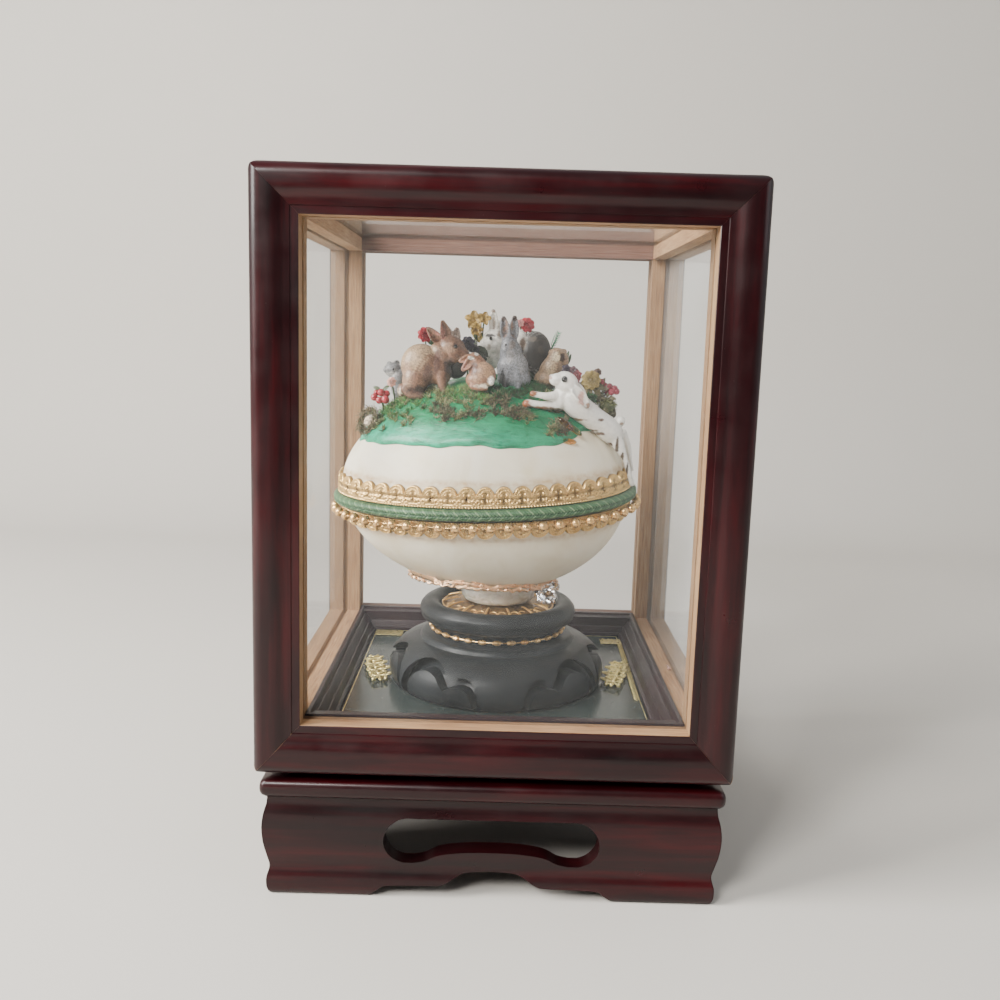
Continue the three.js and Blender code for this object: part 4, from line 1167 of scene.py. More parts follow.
OLIVE = ((0.13, 0.15, 0.05), (0.2, 0.2, 0.08), (0.09, 0.11, 0.03), (0.28, 0.27, 0.13))
LEAFY = ((0.05, 0.2, 0.05), (0.08, 0.28, 0.06), (0.13, 0.19, 0.05), (0.05, 0.14, 0.03))
UMBER = ((0.1, 0.085, 0.045), (0.15, 0.13, 0.07), (0.06, 0.065, 0.03), (0.2, 0.18, 0.1))
GROVE = ((0.02, 0.08, 0.025), (0.03, 0.13, 0.04), (0.05, 0.08, 0.03), (0.015, 0.045, 0.015))
# Tufts seen from the front: place in the picture, half width and height, count and tones
TUFTS = (
    (391, 409, 15, 11, 74, LEAFY), (378, 424, 9, 7, 26, OLIVE), (388, 398, 10, 6, 26, LEAFY),
    (402, 401, 12, 8, 44, OLIVE), (404, 419, 12, 6, 22, OLIVE), (418, 405, 11, 7, 30, LEAFY),
    (430, 395, 12, 6, 40, OLIVE), (444, 398, 9, 8, 36, OLIVE), (434, 410, 8, 6, 16, UMBER),
    (447, 415, 8, 7, 26, UMBER), (458, 395, 11, 6, 38, LEAFY), (458, 417, 7, 4, 10, OLIVE),
    (472, 394, 10, 5, 34, OLIVE), (482, 396, 8, 5, 24, LEAFY), (474, 416, 10, 4, 14, UMBER),
    (487, 402, 7, 4, 12, OLIVE), (498, 406, 10, 9, 44, UMBER), (496, 392, 8, 5, 20, GROVE),
    (510, 396, 9, 5, 28, GROVE), (517, 414, 11, 6, 34, UMBER), (532, 392, 11, 7, 46, GROVE),
    (538, 382, 8, 8, 36, GROVE), (545, 398, 8, 5, 18, OLIVE), (527, 420, 8, 4, 12, OLIVE),
    (554, 409, 8, 4, 12, OLIVE), (561, 429, 7, 9, 40, UMBER), (553, 433, 6, 5, 12, OLIVE), (466, 406, 8, 4, 8, OLIVE),
)


def tuft(soup, base, out, tones, size, count):
    tone = np.array(rng.choice(tones))
    for _ in range(count):
        way = unit(out + spread(-0.4))
        start = base + 0.6 * np.array([rng.uniform(-1, 1), rng.uniform(-1, 1), 0])
        length, radius = size * rng.uniform(0.6, 1.15), rng.uniform(0.12, 0.21)
        soup.add(fibre(start, way, length, radius, 1.1), paint=tone * rng.uniform(0.5, 1.7))


def build_moss():
    reach, turn = np.array([(math.sqrt(rng.random()) * 0.95, rng.random() * TAU) for _ in range(26000)]).T
    base = hill_points(drawn_in(reach, turn), turn, hill_cover(reach, turn) - 0.35)
    outward = base - np.stack([EGG_X + 0.7 * (base[:, 0] - EGG_X), 0 * turn, 0 * turn + EGG_Z], -1)
    u, v = in_picture(base)
    front = base[:, 1] < 8
    moss = Soup()
    for cu, cv, wide, high, count, tones in TUFTS:
        gap = ((u - cu) / wide) ** 2 + ((v - cv) / high) ** 2
        chosen = [k for k in np.nonzero(front & (gap < 1.6))[0] if rng.random() < math.exp(-0.9 * gap[k])]
        for k in chosen[:count]:
            tuft(moss, base[k], unit(outward[k]), tones, rng.uniform(2.2, 4.0), 11)
    moss.piece("moss_tufts", "moss", "moss_green")
    moss = Soup()
    for k in np.nonzero(~front)[0][:230]:
        tones = rng.choice((OLIVE, LEAFY, UMBER))
        tuft(moss, base[k], unit(outward[k]), tones, rng.uniform(1.7, 3.2), 11)
    moss.piece("moss_tufts_behind", "moss", "moss_green")
    clump = Soup()
    for cu, cv, y, wide, high, count, tones in (
            (607, 404, -8, 9, 8, 60, OLIVE), (598, 396, -9, 7, 6, 26, UMBER), (601, 412, -14, 6, 5, 20, UMBER),
            (589, 398, -14, 8, 6, 26, GROVE), (612, 412, -6, 5, 5, 16, UMBER)):
        for _ in range(count):
            a, r = rng.random() * TAU, math.sqrt(rng.random())
            place = spot(cu + wide * r * math.cos(a), cv + high * r * math.sin(a), y + rng.uniform(-2, 2))
            out = unit(place - (30, 0, 196))
            tuft(clump, place - out, out, tones, rng.uniform(1.4, 2.4), 9)
        # The ball inside each clump is a darker copy of its first tone: painted shade deep in the moss.
        clump.add(ball(spot(cu, cv + 2, y + 1.5), (wide * 0.42, 3.0, high * 0.42)), paint=np.array(tones[0]) * 0.6)
    clump.piece("moss_clump_right", "moss", "moss_green")


# ---------------------------------------------------------------- figures


def sculpt(name, forms, node, zones, base, look="fur", slot="fur_brown", voxel=0.42, soften=4):
    """Fuses rounded forms into one skin and paints it by zones of (centre, radii, colour)."""
    skin = Soup()
    for form in forms:
        skin.add(form)
    work = raw_object((np.concatenate(skin.points), skin.faces))
    remesh = work.modifiers.new("fuse", "REMESH")
    remesh.mode = "VOXEL"
    remesh.voxel_size = voxel * MM
    relax = work.modifiers.new("relax", "SMOOTH")
    relax.factor = 0.5
    relax.iterations = soften
    points, faces = form_of(baked(work))
    x, y, z = points.T
    ragged = 0.18 * np.sin(x * 2.1 + z * 1.7) * np.sin(y * 2.3 + z * 2.9)
    paint = np.tile(np.array(base), (len(points), 1))
    for centre, radii, color in zones:
        away = np.linalg.norm((points - centre) / radii, axis=1) + ragged
        weight = np.clip((1.15 - away) / 0.35, 0, 1)[:, None]
        paint = paint * (1 - weight) + weight * np.array(color)
    Soup().add((points, faces), paint=paint).piece(name, look, slot, [node] if node else ())


def blob(u, v, y, radii, pitch=0, yaw=0):
    return ball(spot(u, v, y), radii, turned(yaw, pitch), 18, 12)


def limb(stops):
    """A tapering limb through (u, v, y, radius) stops, with round ends. A thick one has more sides."""
    path = smooth_line([spot(u, v, y) for u, v, y, _ in stops], 5)
    radii = smooth_line([[r] for *_, r in stops], 5)[:, 0]
    sides = 20 if max(radii) > 5 else 12
    first, last = path[1] - path[0], path[-1] - path[-2]
    path = np.concatenate([[path[0] - unit(first) * radii[0] * 0.7], path, [path[-1] + unit(last) * radii[-1] * 0.7]])
    radii = np.concatenate([[radii[0] * 0.55], radii, [radii[-1] * 0.55]])
    return tube(path, radii, sides, up=(0.1, 1, 0.05))


def ear(base, tip, width, thick, face=(0.2, -1, 0.1), cup=0.35):
    """A rabbit's ear: a pointed, cupped leaf from base to tip, facing a direction."""
    ahead = tip - base
    face = unit(np.asarray(face, float) - ahead * np.dot(face, ahead) / np.dot(ahead, ahead))
    side = unit(np.cross(ahead, face))
    rows = []
    for s in np.linspace(0, 1, 14):
        half = width / 2 * (math.sin(math.pi * min(1, 0.16 + 0.84 * s ** 0.85)) ** 0.75) + 0.15
        rows.append([base + ahead * s + side * half * t
                     + face * (cup * width * (t * t - 0.6) + 0.06 * np.linalg.norm(ahead) * math.sin(math.pi * s))
                     for t in np.linspace(-1, 1, 9)])
    return sheet(rows, thick)


def figure(name, node, y, blobs, limbs, ears, zones, base, eye=None, **finish):
    """Sculpts an animal from tables. Each place is u, v and a depth that counts from y.

    A blob's row ends with three radii, a pitch and a yaw. An ear's row has its root, its tip,
    its width, its thickness and the way it faces. A zone's row ends with three radii and a colour.
    """
    forms = [blob(u, v, y + d, row[:3], *row[3:]) for u, v, d, *row in blobs]
    forms += [limb([(u, v, y + d, r) for u, v, d, r in stops]) for stops in limbs]
    forms += [ear(spot(u, v, y + d), spot(s, t, y + e), *row) for u, v, d, s, t, e, *row in ears]
    paint = [(spot(u, v, y + d), row[:3], row[3]) for u, v, d, *row in zones]
    sculpt(name, forms, node, paint, base, **finish)
    if eye:
        u, v, d, radius = eye
        Soup().add(ball(spot(u, v, y + d), radius, None, 14, 9), paint=(0.006, 0.005, 0.005)).piece(
            f"{name}_eye", "eye", "fur_dark")


FUR_BROWN = (0.2, 0.098, 0.055)
# Golden tone for the top of the back: painted highlight.
FUR_HIGHLIGHT = (0.42, 0.29, 0.17)
# Near-black brown for the nose and round the eyes, and painted shade along the bottom of a body and under a chin.
FUR_DARK_AND_SHADE = (0.055, 0.026, 0.018)
FUR_RUST = (0.27, 0.13, 0.07)
CREAM = (0.66, 0.58, 0.44)
WHITE = (0.8, 0.77, 0.7)
EAR_PINK = (0.42, 0.17, 0.12)
EAR_TAN = (0.26, 0.16, 0.12)
GREY_BLUE = (0.2, 0.205, 0.222)
BLACK_BROWN = (0.026, 0.02, 0.016)
SOOT = (0.04, 0.034, 0.03)
STREAK = (0.13, 0.075, 0.05)
LEG_STREAK = (0.1, 0.07, 0.05)


def build_brown_rabbits():
    figure("brown_rabbit", "rabbit_brown", -14, (
        (421.5, 365.5, 0, 9.8, 7.0, 10.2, 10), (416, 379, -2, 6.4, 5.0, 8.2, -12), (415, 380, 4, 6.2, 4.0, 7.0, -12),
        (436, 368, 0, 6.6, 5.8, 8.8, 35), (444, 354, 0, 5.0, 5.0, 7.0, 60), (452, 348, -0.5, 6.6, 4.8, 5.6, -24),
        (462, 354, -0.5, 4.0, 3.2, 3.2, -30), (452, 356, -2.4, 4.0, 2.6, 3.6, -20), (402, 390, 0, 2.3, 2.2, 3.2),
    ), (
        ((441, 372, -3, 2.9), (442, 384, -4, 2.2), (445, 392, -4.5, 1.9), (451, 395, -5, 1.7)),
        ((440, 378, 3, 2.4), (443, 388, 3, 1.9), (448, 393, 3, 1.7)),
        ((405, 388, -3.6, 2.5), (411, 394.5, -5, 2.0), (422, 396, -5, 1.7)),
    ), (
        (446.5, 343, -1, 442.2, 320.5, 0, 5.0, 0.9, (0.5, -1, 0)),
        (441, 343, 2.5, 427.5, 327.5, 3, 4.6, 0.9, (-0.5, -1, 0.4)),
    ), (
        # The golden zones on the back are painted highlight; the dark band along the bottom and the dark zone under
        # the chin are painted shade.
        (412, 358, -3, 8, 6, 7, FUR_HIGHLIGHT), (426, 350, -1, 8, 6, 3, FUR_HIGHLIGHT),
        (408, 376, -3, 3, 5, 8, (0.33, 0.2, 0.12)), (424, 390, 0, 12, 9, 3.2, FUR_DARK_AND_SHADE),
        (428, 376, -5, 2.2, 4, 5.5, (0.12, 0.055, 0.035)), (437, 362, -5, 1.6, 4, 6, (0.13, 0.06, 0.04)),
        (450, 366, 0, 3.2, 7, 4.8, FUR_DARK_AND_SHADE), (462, 359, -2, 3.4, 3, 1.4, (0.32, 0.2, 0.13)),
        (449, 348, -4.5, 3.2, 2.4, 2.6, (0.34, 0.2, 0.12)), (402, 391, 0, 2.4, 2.4, 2.4, CREAM),
        (443.5, 331, -2.2, 1.4, 1.8, 4.8, EAR_PINK), (434, 334, 0.6, 4.4, 1.8, 2, EAR_PINK),
        (468, 354, 0, 1.0, 3, 1.2, FUR_DARK_AND_SHADE), (455.5, 346, -5, 1.4, 2, 1.2, FUR_DARK_AND_SHADE),
    ), FUR_BROWN, (455.5, 346.3, -5.0, 0.8), voxel=0.4)
    figure("tan_rabbit_behind", None, -8, ((451, 346, 0, 5.2, 3.4, 5.6), (456, 362, 2, 6.5, 4, 8)), (), (
        (449, 341, -1, 447.5, 326.5, 0, 3.8, 0.9, (0.3, -1, 0)), (455, 342, 0, 457, 327.5, 1, 3.8, 0.9, (0.3, -1, 0)),
    ), (
        (449, 334, -2.4, 1.2, 1.6, 4, (0.5, 0.4, 0.33)), (456.5, 335, -1.4, 1.2, 1.6, 4, (0.5, 0.4, 0.33)),
        (457, 366, -1, 8, 6, 8, (0.05, 0.04, 0.035)),
    ), (0.3, 0.22, 0.17), slot="fur_tan", voxel=0.4)
    figure("small_brown_rabbit", "rabbit_small_brown", -24, (
        (482.5, 374.5, 0, 6.0, 5.6, 6.4, 60), (479, 380, -1, 6.2, 4.6, 4.6), (474.5, 360.5, 1, 4.0, 3.4, 3.6, -20),
        (478, 367, 0.6, 4.6, 4.2, 4.6), (491.3, 380.5, -4, 1.6, 1.5, 2.5),
    ), (((472, 386, -4, 1.6), (479, 388, -5, 1.4), (486, 388, -5, 1.3)),), (
        (475, 357.5, -1.6, 462, 370.5, -2.6, 3.8, 1.0, (0, -1, 0.1)),
        (474, 356.5, 0, 459, 361.5, -0.4, 3.2, 1.0, (0, -1, 0.1)),
    ), (
        # The white dab at 476.5, 354 on the head is a painted highlight.
        (491.5, 381, -4, 1.8, 2.2, 2.6, WHITE), (484, 386, -3, 5, 4, 1.3, CREAM),
        (486, 370, -3, 4.2, 4, 4, (0.42, 0.25, 0.14)), (478, 375, -5, 3, 3, 4, (0.33, 0.19, 0.11)),
        (464, 366, -2, 2, 2, 3, (0.36, 0.17, 0.12)), (474, 368, -4, 1.8, 3, 3, (0.13, 0.06, 0.04)),
        (476.5, 354, 0, 1.0, 2, 0.9, WHITE), (471, 358, -2, 1.4, 3, 0.8, WHITE),
    ), FUR_RUST, slot="fur_rusty", voxel=0.36)


def build_middle_rabbits():
    figure("white_brown_rabbit", "rabbit_white_brown", 2, (
        (535, 352, 1, 7.8, 7, 10), (530, 366, 1, 9, 6.6, 7), (519, 343, 0, 4.6, 4.6, 6.4), (508, 350, 0, 7, 5, 7),
        (494.5, 343, -1, 6.3, 5.0, 6.7), (485.5, 345.5, -2, 3.2, 3.0, 3.6), (492, 355, 0, 4.6, 4.4, 7),
    ), (), (
        (493.5, 332, 0, 493.4, 309.3, 0.6, 4.0, 0.95, (0.15, -1, 0)),
        (499, 334, 3, 500.5, 320, 5, 3.4, 0.95, (0.15, -1, 0)),
    ), (
        (537, 353, 0, 10.2, 12, 12.5, BLACK_BROWN), (520, 337, -3, 3.4, 3.4, 4.6, WHITE),
        (523, 344, -5, 1.6, 3, 3, (0.2, 0.14, 0.1)), (490.5, 335.5, -4, 2.6, 2.4, 0.9, SOOT),
        (500, 335, -3, 1.8, 3, 2.2, (0.24, 0.19, 0.15)), (483.5, 348.5, -4, 1.2, 2, 0.8, SOOT),
        (494, 323, -1, 0.7, 2, 3.8, (0.42, 0.35, 0.29)), (532, 339, -5, 2.6, 3.4, 1.3, (0.11, 0.085, 0.062)),
        (541, 350, -5, 1.6, 3, 2, (0.06, 0.045, 0.035)), (493.4, 311, 0, 1.2, 2, 1.0, (0.25, 0.19, 0.15)),
        (489, 347, -5, 1.2, 2, 1.4, (0.45, 0.4, 0.34)),
    ), WHITE, (490.8, 338.4, -6.0, 0.85), look="coat", slot="fur_dark", voxel=0.42)
    figure("grey_rabbit", "rabbit_grey", -12, (
        (512.6, 369, 0, 7.6, 5.6, 8.6), (514, 379, 0, 8.0, 5.8, 5.6), (511, 353.5, 0, 5.4, 4.4, 6.4),
        (509.5, 345, -0.4, 4.0, 3.8, 4.8), (506.5, 349.5, -2.4, 2.4, 2.0, 2.2),
    ), (
        ((507, 372, -4, 1.8), (505.5, 383, -5, 1.6), (504.5, 392, -5.4, 1.5)),
        ((517, 372, -4, 1.7), (518, 384, -5, 1.5), (517.5, 392, -5.4, 1.4)),
    ), (
        (507, 341, -0.6, 503.4, 316.4, 0.4, 4.6, 0.95, (-0.1, -1, 0)),
        (511.8, 341, -0.2, 514.8, 315.8, 0.6, 4.6, 0.95, (0.25, -1, 0)),
    ), (
        # The near-black zone low on the left side is painted shadow under the body.
        (503.5, 386, -4, 3.0, 5, 7.5, (0.022, 0.02, 0.022)), (519, 362, -4, 3.4, 4, 6, (0.27, 0.27, 0.28)),
        (512, 372, -5, 3.2, 4, 5, (0.22, 0.225, 0.245)), (505.3, 327, -1.4, 1.3, 1.3, 5.4, EAR_TAN),
        (513.6, 327, -1.4, 1.3, 1.3, 5.4, EAR_TAN), (510, 356, -4, 1.8, 3, 3.6, (0.26, 0.25, 0.25)),
        (503.7, 318.6, 0, 1.4, 2, 1.4, (0.06, 0.035, 0.03)), (514.5, 318.2, 0, 1.4, 2, 1.4, (0.06, 0.035, 0.03)),
        (512, 345, -3, 1.6, 3, 2.2, (0.22, 0.19, 0.18)),
    ), GREY_BLUE, (506, 344.8, -3.5, 0.65), slot="fur_grey", voxel=0.38)
    figure("tan_rabbit", "rabbit_tan", -5, (
        (551, 369, 0, 5.2, 4.6, 8.0, -30), (546, 380, 0, 6.0, 5.0, 5.2), (559.5, 356.4, -0.6, 5.0, 3.6, 3.6, -38),
        (564.5, 361.5, -1.6, 2.2, 1.9, 1.9, -42), (554.5, 361, 0, 4.0, 3.6, 4.6),
    ), (), (
        (556, 353, 0, 549, 352, 3, 3.0, 0.9, (0, -1, 0.2)), (561, 352.5, 1, 566.5, 351, 3, 2.4, 0.9, (0, -1, 0.2)),
    ), (
        # The dark zone along the bottom of the body, at 546, 386, is painted shade; the one by the eye is its dark
        # mark.
        (562, 357.5, -3, 1.6, 2, 2.3, FUR_DARK_AND_SHADE), (559, 351.8, -2, 2.6, 2.6, 0.9, (0.3, 0.2, 0.12)),
        (551, 368, -4, 2.2, 3, 4.5, (0.46, 0.33, 0.2)), (546, 386, 0, 6, 6, 2.2, FUR_DARK_AND_SHADE),
        (556, 357, -3, 2, 2.4, 2.4, (0.62, 0.5, 0.33)),
    ), (0.36, 0.23, 0.135), slot="fur_tan", voxel=0.36)


def build_leaping_rabbit():
    figure("leaping_rabbit", "rabbit_leaping", 0, (
        (566, 382.5, -30, 5.9, 4.3, 4.9, -28, -10), (557, 379.5, -31, 3.6, 2.9, 2.9, 12),
        (551.8, 377.5, -31, 1.5, 1.6, 1.5), (570, 389, -29, 4.8, 4.2, 4.4), (562, 397, -28.5, 4.6, 4.4, 6.0, -20),
        (620.5, 421.5, -14, 2.2, 2.2, 2.6),
    ), (
        ((567, 394, -28.5, 4.9), (572, 401, -27.6, 5.7), (580, 408, -26, 5.9), (589, 415, -24, 5.6),
         (598, 421.5, -21.6, 5.5), (606, 427.5, -19.4, 5.7), (612, 433.5, -17.8, 5.3), (616, 440, -17, 4.1)),
        ((616, 440, -18.5, 3.6), (621, 450, -19, 2.4), (625, 459, -18.5, 1.35), (628.5, 471, -17, 1.35),
         (632, 484.5, -14.6, 1.2)),
        ((621, 433, -13, 2.8), (627.5, 446, -12, 1.7), (629.5, 458, -12, 1.15), (631.5, 470, -12, 1.1)),
        ((561, 404, -27.5, 3.0), (549, 405.5, -29, 2.2), (538, 404.5, -30, 1.7), (528, 403, -30.5, 1.7),
         (525.5, 404.5, -30.5, 1.8)),
        ((556, 396, -30.5, 2.4), (547, 396.3, -32, 1.8), (538, 394.8, -32, 1.4), (532, 393.6, -32, 1.45)),
    ), (
        (573, 388, -34, 588.5, 407.5, -31.6, 5.2, 1.0, (0.2, -1, 0.5), 0.3),
        (575, 384, -27, 586, 396, -24.5, 4.4, 1.0, (0.4, -0.6, 1), 0.3),
    ), (
        (525.5, 403.8, -30.5, 2.5, 3, 2.1, (0.36, 0.11, 0.035)), (531.5, 393.4, -32, 2.6, 3, 1.5, (0.3, 0.11, 0.04)),
        (541, 407.5, -29, 6.5, 4, 0.9, (0.3, 0.12, 0.05)), (551, 408.5, -28, 6, 4, 0.8, STREAK),
        (575, 419, -26, 5.5, 6, 0.8, (0.24, 0.13, 0.08)), (589, 430.5, -24, 4.0, 6, 0.9, STREAK),
        (598.5, 433.5, -23, 3.0, 6, 0.9, STREAK), (609.5, 445, -21, 1.6, 4, 1.3, STREAK),
        (601, 420, -27, 1.6, 3, 0.7, STREAK), (617, 446, -21, 0.8, 3, 4.6, LEG_STREAK),
        (622, 457, -20, 0.8, 3, 2.6, LEG_STREAK), (627, 470, -18, 0.6, 3, 3.6, (0.07, 0.05, 0.04)),
        (581.5, 399, -34, 1.8, 1.8, 4.2, (0.6, 0.36, 0.3)), (588.5, 406, -32, 1.4, 1.6, 1.6, (0.3, 0.19, 0.13)),
        (550.3, 377.6, -32, 0.9, 3, 0.9, (0.4, 0.25, 0.2)), (621.5, 423.5, -15, 1.0, 2, 0.8, (0.3, 0.22, 0.16)),
    ), (0.84, 0.82, 0.76), (564.5, 379.2, -34.15, 1.45), look="glaze", slot="white_glaze", voxel=0.36, soften=5)


def build_grey_animal():
    figure("small_grey_animal", "animal_grey", 2, (
        (393.5, 370, 0, 4.6, 3.4, 3.7, -8), (387.6, 369.5, -1, 2.2, 1.9, 1.9), (399.5, 378, 0, 4.8, 3.8, 5.6),
        (400, 388, 0, 4.4, 3.6, 5.6),
    ), (), (
        (391, 364.6, 0, 387, 363.2, 1, 2.2, 0.8, (0, -1, 0)), (395, 364, 0, 399, 361.6, 1, 2.4, 0.8, (0, -1, 0)),
    ), (
        (392, 374, -2, 2.5, 3, 1.2, (0.4, 0.39, 0.37)), (387, 368.6, 0, 1, 3, 0.8, (0.3, 0.28, 0.27)),
    ), (0.2, 0.2, 0.2), (393.2, 369.3, -3.0, 0.6), slot="fur_grey", voxel=0.34)


# ---------------------------------------------------------------- flowers


def petal(centre, axes, size, open_angle, turn, wide, curl, rows, cols, thick):
    """One cupped petal that leaves a flower's middle. axes[2] points out of the flower."""
    side, over, out = axes
    radial = math.cos(turn) * side + math.sin(turn) * over
    across = -math.sin(turn) * side + math.cos(turn) * over
    grid = []
    for s in np.linspace(0, 1, rows):
        bend = open_angle * (0.25 + 0.75 * s)
        spine = size * s * (math.sin(bend) * radial + math.cos(bend) * out)
        half = 0.5 * wide * size * math.sin(math.pi * min(0.93, 0.12 + 0.78 * s)) ** 0.8
        cup = 0.6 * curl * size * (math.sin(bend) * out - math.cos(bend) * radial) - 0.036 * size * s * s * radial
        grid.append([centre + spine + across * half * t + t * t * cup for t in np.linspace(-1, 1, cols)])
    return sheet(grid, thick)


def facing(direction):
    out = unit(direction)
    side = unit(np.cross((0, 0, 1), out)) if abs(out[2]) < 0.95 else np.array([1.0, 0, 0])
    return [side, np.cross(out, side), out]


def rose(soup, centre, radius, direction, tone, layers):
    axes = facing(direction)
    base = centre - axes[2] * 0.5 * radius
    for layer in range(layers):
        share = (layer + 1) / layers
        for k in range(4 + layer):
            turn = TAU * k / (4 + layer) + layer * 0.7
            # Inner petals and the heart are darker: painted shade deep in the flower.
            shade = np.array(tone) * (0.55 + 0.6 * share) * rng.uniform(0.85, 1.15)
            size, open_angle = radius * (0.75 + 0.42 * share), 0.25 + 0.95 * share
            soup.add(petal(base, axes, size, open_angle, turn, 1.0, 0.35, 5, 5, 0.18), paint=shade)
    soup.add(ball(centre - axes[2] * 0.2 * radius, 0.45 * radius, None, 10, 7), paint=np.array(tone) * 0.5)


def leaf(soup, base, tip, width, tone):
    ahead = tip - base
    side = unit(np.cross(ahead, (0, -1, 0.3)))
    out = unit(np.cross(side, ahead))
    sag = 0.12 * np.linalg.norm(ahead)
    grid = []
    for s in np.linspace(0, 1, 7):
        half = width / 2 * math.sin(math.pi * min(0.97, 0.06 + 0.91 * s)) ** 0.8
        lift = sag * math.sin(math.pi * s)
        grid.append([base + ahead * s + side * half * t + out * (lift - 0.14 * width * (1 - t * t))
                     for t in np.linspace(-1, 1, 5)])
    soup.add(sheet(grid, 0.16), paint=tone)


def leaves(soup, rows, y, tip_y):
    """Leaves from rows of u, v, the step to the tip in the picture, width and tone."""
    for u, v, du, dv, width, tone in rows:
        leaf(soup, spot(u, v, y), spot(u + du, v + dv, tip_y), width, tone)


def stem(soup, base, tip, radius=0.35, tone=(0.05, 0.09, 0.03)):
    middle = (np.asarray(base) + tip) / 2 + (0.4, 0.6, 0)
    soup.add(tube(smooth_line([base, middle, tip], 4), radius, 6), paint=tone)


RED = (0.42, 0.012, 0.025)
MUSTARD = (0.46, 0.29, 0.055)


def build_roses():
    for name, node, place, root in (("red_rose_left", "rose_red_left", spot(425.4, 334.6, -4), (-38, 0, 208)),
                                    ("red_rose_right", "rose_red_right", spot(527, 325, 6), (9, 8, 212))):
        flower = Soup()
        rose(flower, place, 3.6, (0.1, -1, 0.25), RED, 5)
        stem(flower, root, place)
        leaf(flower, place + (1, 0, -3), place + (4.4, 0, -4.6), 2.2, (0.05, 0.11, 0.04))
        flower.piece(name, "petal", "petal_red", [node])
    bud, place = Soup(), spot(520.5, 323, 5)
    rose(bud, place, 1.9, (-0.4, -1, 0.2), (0.5, 0.2, 0.18), 3)
    stem(bud, (7, 7, 212), place)
    bud.piece("pink_bud", "petal", "petal_red")


def build_daffodils():
    flower = Soup()
    axes = facing((0.1, -1, 0.35))
    for place, size, turn, wide in ((spot(474, 321.5, 0), 5.2, 0.35, 0.85), (spot(484, 319.5, 1), 3.8, 1.3, 0.8),
                                    (spot(476.5, 331, 1), 3.6, 0.1, 0.8)):
        for k in range(5):
            tone = np.array(MUSTARD) * rng.uniform(0.7, 1.3)
            flower.add(petal(place, axes, size, 1.2, turn + TAU * k / 5, wide, 0.3, 7, 7, 0.3), paint=tone)
        flower.add(ball(place + axes[2] * 0.5, 0.24 * size, None, 10, 7), paint=np.array(MUSTARD) * 0.7)
        stem(flower, (-13.9, 3, 209), place + (0, 0.6, 0), 0.4)
    leaves(flower, ((479, 342, -8, -13, 2.4, (0.36, 0.27, 0.06)), (480, 344, 2, -12, 2.0, (0.3, 0.23, 0.05))), 2, 3)
    flower.piece("daffodils", "petal", "petal_yellow", ["daffodil"])


def build_right_flowers():
    flower = Soup()
    gold = spot(591, 380, -11)
    rose(flower, gold, 4.4, (-0.1, -1, 0.2), (0.34, 0.25, 0.075), 6)
    stem(flower, (42, -10, 200), gold, 0.45)
    for dx, dz, wide, tone in (
            (-4.5, -8, 3.4, (0.2, 0.15, 0.05)), (4.6, -8, 3.2, (0.12, 0.1, 0.035)),
            (-1, -9, 3.0, (0.16, 0.13, 0.045)), (2.4, 5.2, 2.0, (0.16, 0.1, 0.07)), (7, -5, 3.0, (0.1, 0.09, 0.04)),
            (-6, -3, 2.4, (0.2, 0.12, 0.06))):
        leaf(flower, gold + (0.2 * dx, 1.5, 0.2 * dz), gold + (dx, 0.6, dz), wide, tone)
    flower.piece("gold_rose", "petal", "petal_yellow", ["rose_gold"])
    dark = Soup()
    for u, v, y, size, tone in (
            (566.5, 369.5, -9, 2.4, (0.1, 0.075, 0.1)), (573, 371, -9, 2.3, (0.13, 0.06, 0.075)),
            (577, 375, -10, 2.3, (0.24, 0.04, 0.05)), (575.5, 380.5, -11, 2.2, (0.2, 0.045, 0.05)),
            (570, 376.5, -9, 2.0, (0.09, 0.06, 0.08)), (598, 372, -9, 1.8, (0.13, 0.07, 0.05))):
        rose(dark, spot(u, v, y), size, (rng.uniform(-0.4, 0.4), -1, 0.3), tone, 3)
        stem(dark, (34, -9, 205), spot(u, v, y), 0.3)
    dark.piece("purple_flowers", "petal", "petal_dark")
    berries = Soup()
    for u, v, y in ((604.5, 385.5, -7), (609.5, 386.5, -8), (614.5, 388.5, -8), (611.5, 392, -9), (606, 390.5, -7),
                    (616.5, 391.5, -8), (602, 382, -8)):
        berries.add(ball(spot(u, v, y), 1.6), paint=np.array((0.26, 0.03, 0.05)) * rng.uniform(0.8, 1.3))
        stem(berries, (46, -7, 206), spot(u, v, y), 0.25, (0.08, 0.07, 0.04))
    leaves(berries, (
        (600, 388, 5, -10, 2.2, (0.12, 0.09, 0.04)), (606, 396, 9, -7, 2.2, (0.16, 0.13, 0.06)),
        (597, 390, 1, -9, 2.2, (0.1, 0.09, 0.05)), (608, 398, 8, 1, 2.2, (0.14, 0.12, 0.05)),
        (596, 396, 8, -3, 2.2, (0.12, 0.13, 0.06)), (603, 392, 7, -8, 2.2, (0.2, 0.15, 0.1))), -8, -9)
    berries.piece("right_berries", "petal", "petal_red")


